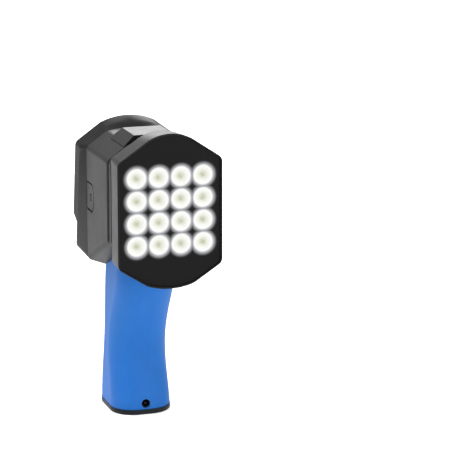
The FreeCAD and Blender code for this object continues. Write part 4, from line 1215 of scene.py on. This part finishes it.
@dataclass
class Display:
    """The clear window and what the display behind it shows."""

    half: float = 0.02235
    top: float = 0.0231
    low: float = 0.033
    border: float = 0.0025
    window_top: float = 0.0114
    window_thickness: float = 0.0011
    field: float = 0.0129
    ink: float = 0.00012
    lift: float = 0.00005
    corner: float = 0.001
    figures: str = "1528"
    figure_left: float = -0.0172
    figure_foot: float = -0.016
    figure_pitch: float = 0.0097
    figure_width: float = 0.0075
    figure_height: float = 0.0174
    breadth: float = 0.0021
    words: tuple[tuple, ...] = (("unit_legend", "FPM", -0.0163, 0.0082, 0.0048, 0.0132),
                                ("factor_legend", "X10", -0.0066, -0.0264, 0.0050, 0.0128))

    def show(self, piece: Piece) -> None:
        """Lays a mark on the display's field and lights it."""
        place = Seat.DISPLAY.matrix(z=self.lift - self.field)
        dress(settle(piece, place), WHITE_MARK, "lamp", "lcd")

    def window(self) -> None:
        """Models the clear window with eased edges."""
        width, height = 2 * (self.half + self.border), self.top + self.low + 2 * self.border
        piece = bar("window_pane", 0, (self.top - self.low) / 2, width, height, self.window_thickness,
                    self.corner)
        smooth(piece)
        settle(piece, Seat.DISPLAY.matrix(z=-self.window_top - self.window_thickness))
        dress(piece, PANE, "lamp", "window", "display_window")

    def segment(self, x: float, y: float, length: float, upright: bool) -> Piece:
        """One pointed bar of a seven-bar numeral.

        Args:
            x: The middle across.
            y: The middle upwards.
            length: The length from point to point.
            upright: Whether it stands.

        Returns:
            The bar in the display's local frame.
        """
        turn = math.pi / 2 if upright else 0
        piece = drum("segment", self.breadth / 2, self.ink, sides=6)
        slide = (length - self.breadth) / 2
        for side in (-1, 1):
            with picked(piece, lambda spot, _: spot.x * side > self.breadth * 0.01, Part.CORNER):
                bpy.ops.transform.translate(value=(side * slide, 0, 0))
        return settle(piece, Matrix.Translation((x, y, 0)) @ Matrix.Rotation(turn, 4, "Z"))

    def numeral(self, figure: str, x: float) -> list[Piece]:
        """The bars of one numeral.

        Args:
            figure: The figure, which is 1, 2, 5 or 8.
            x: The numeral's left edge.

        Returns:
            The bars.
        """
        lit = {"1": "bc", "2": "abged", "5": "afgcd", "8": "abcdefg"}[figure]
        half = self.breadth / 2
        centre, middle = x + self.figure_width / 2, self.figure_foot + self.figure_height / 2
        left, right = x + half, x + self.figure_width - half
        level = self.figure_width - self.breadth * 0.7
        stand = self.figure_height / 2 - self.breadth * 0.55
        lift = self.figure_height / 4 - self.breadth * 0.1
        spots = {
            "a": (centre, self.figure_foot + self.figure_height - half, level, False),
            "g": (centre, middle, level, False), "d": (centre, self.figure_foot + half, level, False),
            "b": (right, middle + lift, stand, True), "c": (right, middle - lift, stand, True),
            "f": (left, middle + lift, stand, True), "e": (left, middle - lift, stand, True)}
        return [self.segment(*spots[letter]) for letter in lit]

    def reading(self) -> None:
        """Sets the flash rate in four large numerals."""
        bars = []
        for place, figure in enumerate(self.figures):
            bars += self.numeral(figure, self.figure_left + place * self.figure_pitch)
        self.show(joined("reading", bars))

    def legends(self) -> None:
        """Sets the unit, the factor and the charge mark."""
        for word in self.words:
            self.show(lettering(*word, self.ink))
        left, foot, width, height, line = 0.0098, 0.0074, 0.0096, 0.0050, 0.0006
        middle = foot + height / 2
        inset, pitch, block = 0.0023, 0.0024, 0.0014
        boxes = [(left + width / 2, foot + line / 2, width, line),
                 (left + width / 2, foot + height - line / 2, width, line),
                 (left + line / 2, middle, line, height - line),
                 (left + width - line / 2, middle, line, height - line),
                 (left - line, middle, line * 1.2, height * 0.45)]
        boxes += [(left + inset + step * pitch, middle, block, height - 4 * line) for step in range(3)]
        self.show(joined("charge_mark", [bar("charge", *box, self.ink) for box in boxes]))

    def build(self) -> None:
        """Models the window and the marks behind it."""
        self.window()
        self.reading()
        self.legends()


@dataclass
class Keypad:
    """Six rubber keys with rounded edges and printed marks."""

    centre: float = -0.0503
    top: float = -0.0074
    print_depth: float = 0.00005
    lift: float = 0.00002
    round: float = 0.0005
    through: float = 0.001
    bold_step: float = 0.00018
    rim: float = 0.9
    crease: float = 40

    def print_on(self, key: str, name: str, pieces: Sequence[Piece], finish: Finish) -> None:
        """Prints a mark on a key.

        Args:
            key: The key's body.
            name: The mark's name.
            pieces: The mark's parts, measured from the keypad's middle.
            finish: The ink.
        """
        mark = joined(name, pieces)
        settle(mark, Seat.DISPLAY.matrix(y=self.centre, z=self.top + self.lift))
        dress(mark, finish, key, "key")

    def ring(self, x: float, y: float, radius: float, width: float, opening: float) -> Piece:
        """A flat ring with a gap at its top.

        Args:
            x: The middle across.
            y: The middle upwards.
            radius: The outer radius.
            width: The ring's width.
            opening: Half the gap's width.

        Returns:
            The ring.
        """
        piece = drum("ring", radius, self.print_depth)
        hole = drum("hole", radius - width, self.through, -self.through / 2)
        gap = bar("gap", 0, radius, 2 * opening, radius, self.through)
        cut(piece, hole, settle(gap, Matrix.Translation((0, 0, -self.through / 2))))
        return settle(piece, Matrix.Translation((x, y, 0)))

    def cap(self, key: str) -> None:
        """Rounds the rim of a key's top and paints shade on its sides with a darker rubber.

        Args:
            key: The CAD key, which is also the name of its body.
        """
        outward = Seat.DISPLAY.matrix().to_3x3() @ Vector((0, 0, 1))
        piece = merged_copy(key, f"{key}_cap")
        with picked(piece, lambda _, normal: normal.dot(outward) > FACING):
            bpy.ops.mesh.region_to_loop()
            bpy.ops.mesh.bevel(offset=self.round, segments=3, affect="EDGES")
        smooth(piece, self.crease)
        dress(piece, KEY_RUBBER, key, "key", key)
        # The key's sides take the darker rubber as painted shade.
        piece.data.materials.append(KEY_SIDE_SHADE.material())
        for face in piece.data.polygons:
            face.material_index = int(face.normal.dot(outward) < self.rim)

    def bold(self, text: str, x: float, y: float, height: float, width: float) -> list[Piece]:
        """Letters set three times a little apart from a left edge and foot, which makes them bolder."""
        lefts = (x + shift * self.bold_step for shift in range(3))
        return [lettering("mark", text, left, y, height, width, self.print_depth) for left in lefts]

    def boxes(self, *places: Box) -> list[Piece]:
        """Flat bars of ink from the middle, width and height of each."""
        return [bar("mark", *place, self.print_depth) for place in places]

    def build(self) -> None:
        """Rounds each key and prints its mark."""
        for key in ("power", "mode", "raise", "lower", "multiply", "pulse"):
            self.cap(f"{key}_key")
        up, down, arm, dash, stroke = 0.0059, -0.0061, 0.0040, 0.0038, 0.0011
        plus = self.boxes((0, up, arm, stroke), (0, up, stroke, arm))
        minus = self.boxes((0, down, dash, stroke))
        mode = self.bold("M", x=-0.0104, y=-0.0022, height=0.0044, width=0.0040)
        multiply = self.bold("X", x=0.0064, y=-0.0022, height=0.0044, width=0.0034)
        left, foot, height, step, line = 0.0176, -0.0021, 0.0046, 0.0021, 0.0009
        wave = self.boxes((left + step * 0.3, foot + line / 2, step, line),
                          (left + step, foot + height / 2, line, height),
                          (left + step * 1.5, foot + height - line / 2, step + 0.96 * line, line),
                          (left + step * 2, foot + height / 2, line, height),
                          (left + step * 2.7, foot + line / 2, step, line))
        power = [self.ring(x=-0.0186, y=-0.0001, radius=0.0026, width=0.0006, opening=0.0008),
                 *self.boxes((-0.0186, 0.0016, 0.0006, 0.0026))]
        marks = {"raise": plus, "lower": minus, "mode": mode, "multiply": multiply, "pulse": wave,
                 "power": power}
        for key, pieces in marks.items():
            ink = RED_PRINT if key == "power" else WHITE_PRINT
            self.print_on(f"{key}_key", f"{key}_mark", pieces, ink)


@dataclass
class Grip:
    """The soft blue sleeve."""

    rounding: float = 0.0004
    angle: float = 40.0

    def build(self) -> None:
        """Smooths the sleeve and gives it its rubber."""
        skin = soft_copy("grip_sleeve", "grip_skin", self.rounding, self.angle)
        dress(skin, SLEEVE, "lamp", "sleeve", "grip_sleeve")


@dataclass
class Underside:
    """The tripod bush with its thread, and the two screws of the cap."""

    bore: float = 0.00255
    groove: float = 0.0005
    pitch: float = 0.00127
    lead: float = 0.9
    outer: float = 0.005
    flange: float = 0.0062
    length: float = 0.011
    boss: float = 0.010
    screw_x: float = 0.014
    screw_seat: float = 0.0024
    slack: float = 0.0001
    crease: float = 25

    def bush(self) -> Piece:
        """Models the bush: a stepped cylinder whose bore is ringed by thread grooves.

        Returns:
            The bush.
        """
        piece = drum("bush_body", self.outer, self.boss)
        with picked(piece, top_faces):
            raised(0)
            widened(self.flange / self.outer, self.boss)
            raised(self.length - self.boss)
        cutter = drum("tap", self.bore, self.pitch / 2, -self.lead * self.pitch)
        turns = int(self.length / self.pitch) + 3
        wide = (self.bore + self.groove) / self.bore
        for turn in range(turns):
            height = (0.5 - self.lead + turn) * self.pitch
            for scale, rise in ((wide, self.pitch / 4), (1 / wide, self.pitch / 4), (1, self.pitch / 2)):
                with picked(cutter, lambda spot, facing: facing.z > FACING and spot.z > height - self.slack):
                    raised(rise)
                    height += rise
                    widened(scale, height)
        cut(piece, cutter)
        smooth(piece, self.crease)
        return piece

    def build(self) -> None:
        """Models the bush and the cap's screws."""
        dress(self.bush(), BRASS, "lamp", "brass", "tripod_bush")
        screw = CrossScrew(head_radius=0.0026, head_height=0.0015, shank_radius=0.00125, shank_length=0.014)
        places = [Seat.UNDERSIDE.matrix(side * self.screw_x, 0, -self.screw_seat) for side in (-1, 1)]
        pair = [settle(screw.model("cap_screw"), place) for place in places]
        dress(joined("cap_screw_pair", pair), STEEL, "lamp", "steel", "cap_screws")


@dataclass
class Studio:
    """A white floor and surround, soft lamps and the camera."""

    azimuth: float = math.radians(-18.30)
    elevation: float = math.radians(13.42)
    spot: Place = (-0.5096, -1.7648, 0.5828)
    lens: float = 194.74
    floor_radius: float = 6.0
    floor_drop: float = 0.0003
    floor_light: float = 0.74
    surround_light: float = 0.33
    sensor: float = 36
    far: float = 50
    aim: Place = (0, -0.03, 0.16)
    lamps: tuple[tuple, ...] = (("top_lamp", (-0.6, 0.0, 2.0), 0.9, 26),
                                ("left_lamp", (-1.9, -0.9, 0.8), 0.9, 3),
                                ("front_lamp", (0.9, -2.0, 0.6), 1.2, 14),
                                ("back_lamp", (0.6, 1.8, 1.1), 1.0, 24))

    def floor(self) -> None:
        """Lays a pale floor that keeps the lamp's shadow."""
        piece = fresh(bpy.ops.mesh.primitive_circle_add, "floor", vertices=64, radius=self.floor_radius,
                      fill_type="NGON", location=(0, 0, -self.floor_drop))
        graph = Graph(bpy.data.materials.new("floor_paint"))
        speckle = graph.noise(3, 2)
        colour = graph.blend(speckle, shaded(WHITE, 0.80), shaded(WHITE, 0.82))
        paint = graph.node("ShaderNodeBsdfDiffuse", sockets={"Color": colour})
        strength = graph.shown_light() * self.floor_light
        light = graph.node("ShaderNodeEmission", sockets={"Strength": strength})
        graph.end(graph.node("ShaderNodeAddShader", sockets={0: paint, 1: light}))
        piece.data.materials.append(graph.owner)

    def surround(self) -> None:
        """Lights the scene evenly from all round, and shows white behind it."""
        world = bpy.data.worlds.new("surround")
        bpy.context.scene.world = world
        graph = Graph(world)
        level = graph.shown_light() * (1 - self.surround_light) + self.surround_light
        light = graph.node("ShaderNodeBackground", sockets={"Strength": level, "Color": (1, 1, 1, 1)})
        graph.end(light, "ShaderNodeOutputWorld")

    def lamp(self, name: str, place: Place, size: float, power: float) -> None:
        """Adds a square soft lamp that points at the middle of the stroboscope.

        Args:
            name: The lamp's name.
            place: Where it stands.
            size: The length of its side.
            power: Its power in watts.
        """
        clear_selection()
        bpy.ops.object.light_add(type="AREA", location=place)
        light = bpy.context.object
        light.name = name
        light.data.energy = power
        light.data.size = size
        light.rotation_euler = (Vector(self.aim) - Vector(place)).to_track_quat("-Z", "Y").to_euler()

    def camera(self) -> None:
        """Sets the camera that saw the front of the lamp."""
        clear_selection()
        turn = (math.pi / 2 - self.elevation, 0, self.azimuth)
        bpy.ops.object.camera_add(location=self.spot, rotation=turn)
        camera = bpy.context.object
        camera.data.lens = self.lens
        camera.data.sensor_width = self.sensor
        camera.data.clip_end = self.far
        bpy.context.scene.camera = camera

    def build(self) -> None:
        """Builds the whole studio."""
        self.floor()
        self.surround()
        for lamp in self.lamps:
            self.lamp(*lamp)
        self.camera()
        bpy.context.scene.view_settings.view_transform = "Standard"


def carry_nodes() -> None:
    """Gives each CAD node that stays its own finish."""
    for node, finish in CARRIED.items():
        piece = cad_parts[node]
        piece.data.materials.clear()
        piece.data.materials.append(finish.material())
        log.info("%s: carried", node)


def main() -> None:
    """Builds the lamp and its studio."""
    logging.basicConfig(level=logging.INFO, format="%(message)s")
    carry_nodes()
    for builder in (HeadShells, LensArray, LugScrews, Display, Keypad, Grip, Underside, Studio):
        builder().build()
    clear_selection()


if __name__ == "__main__":
    main()
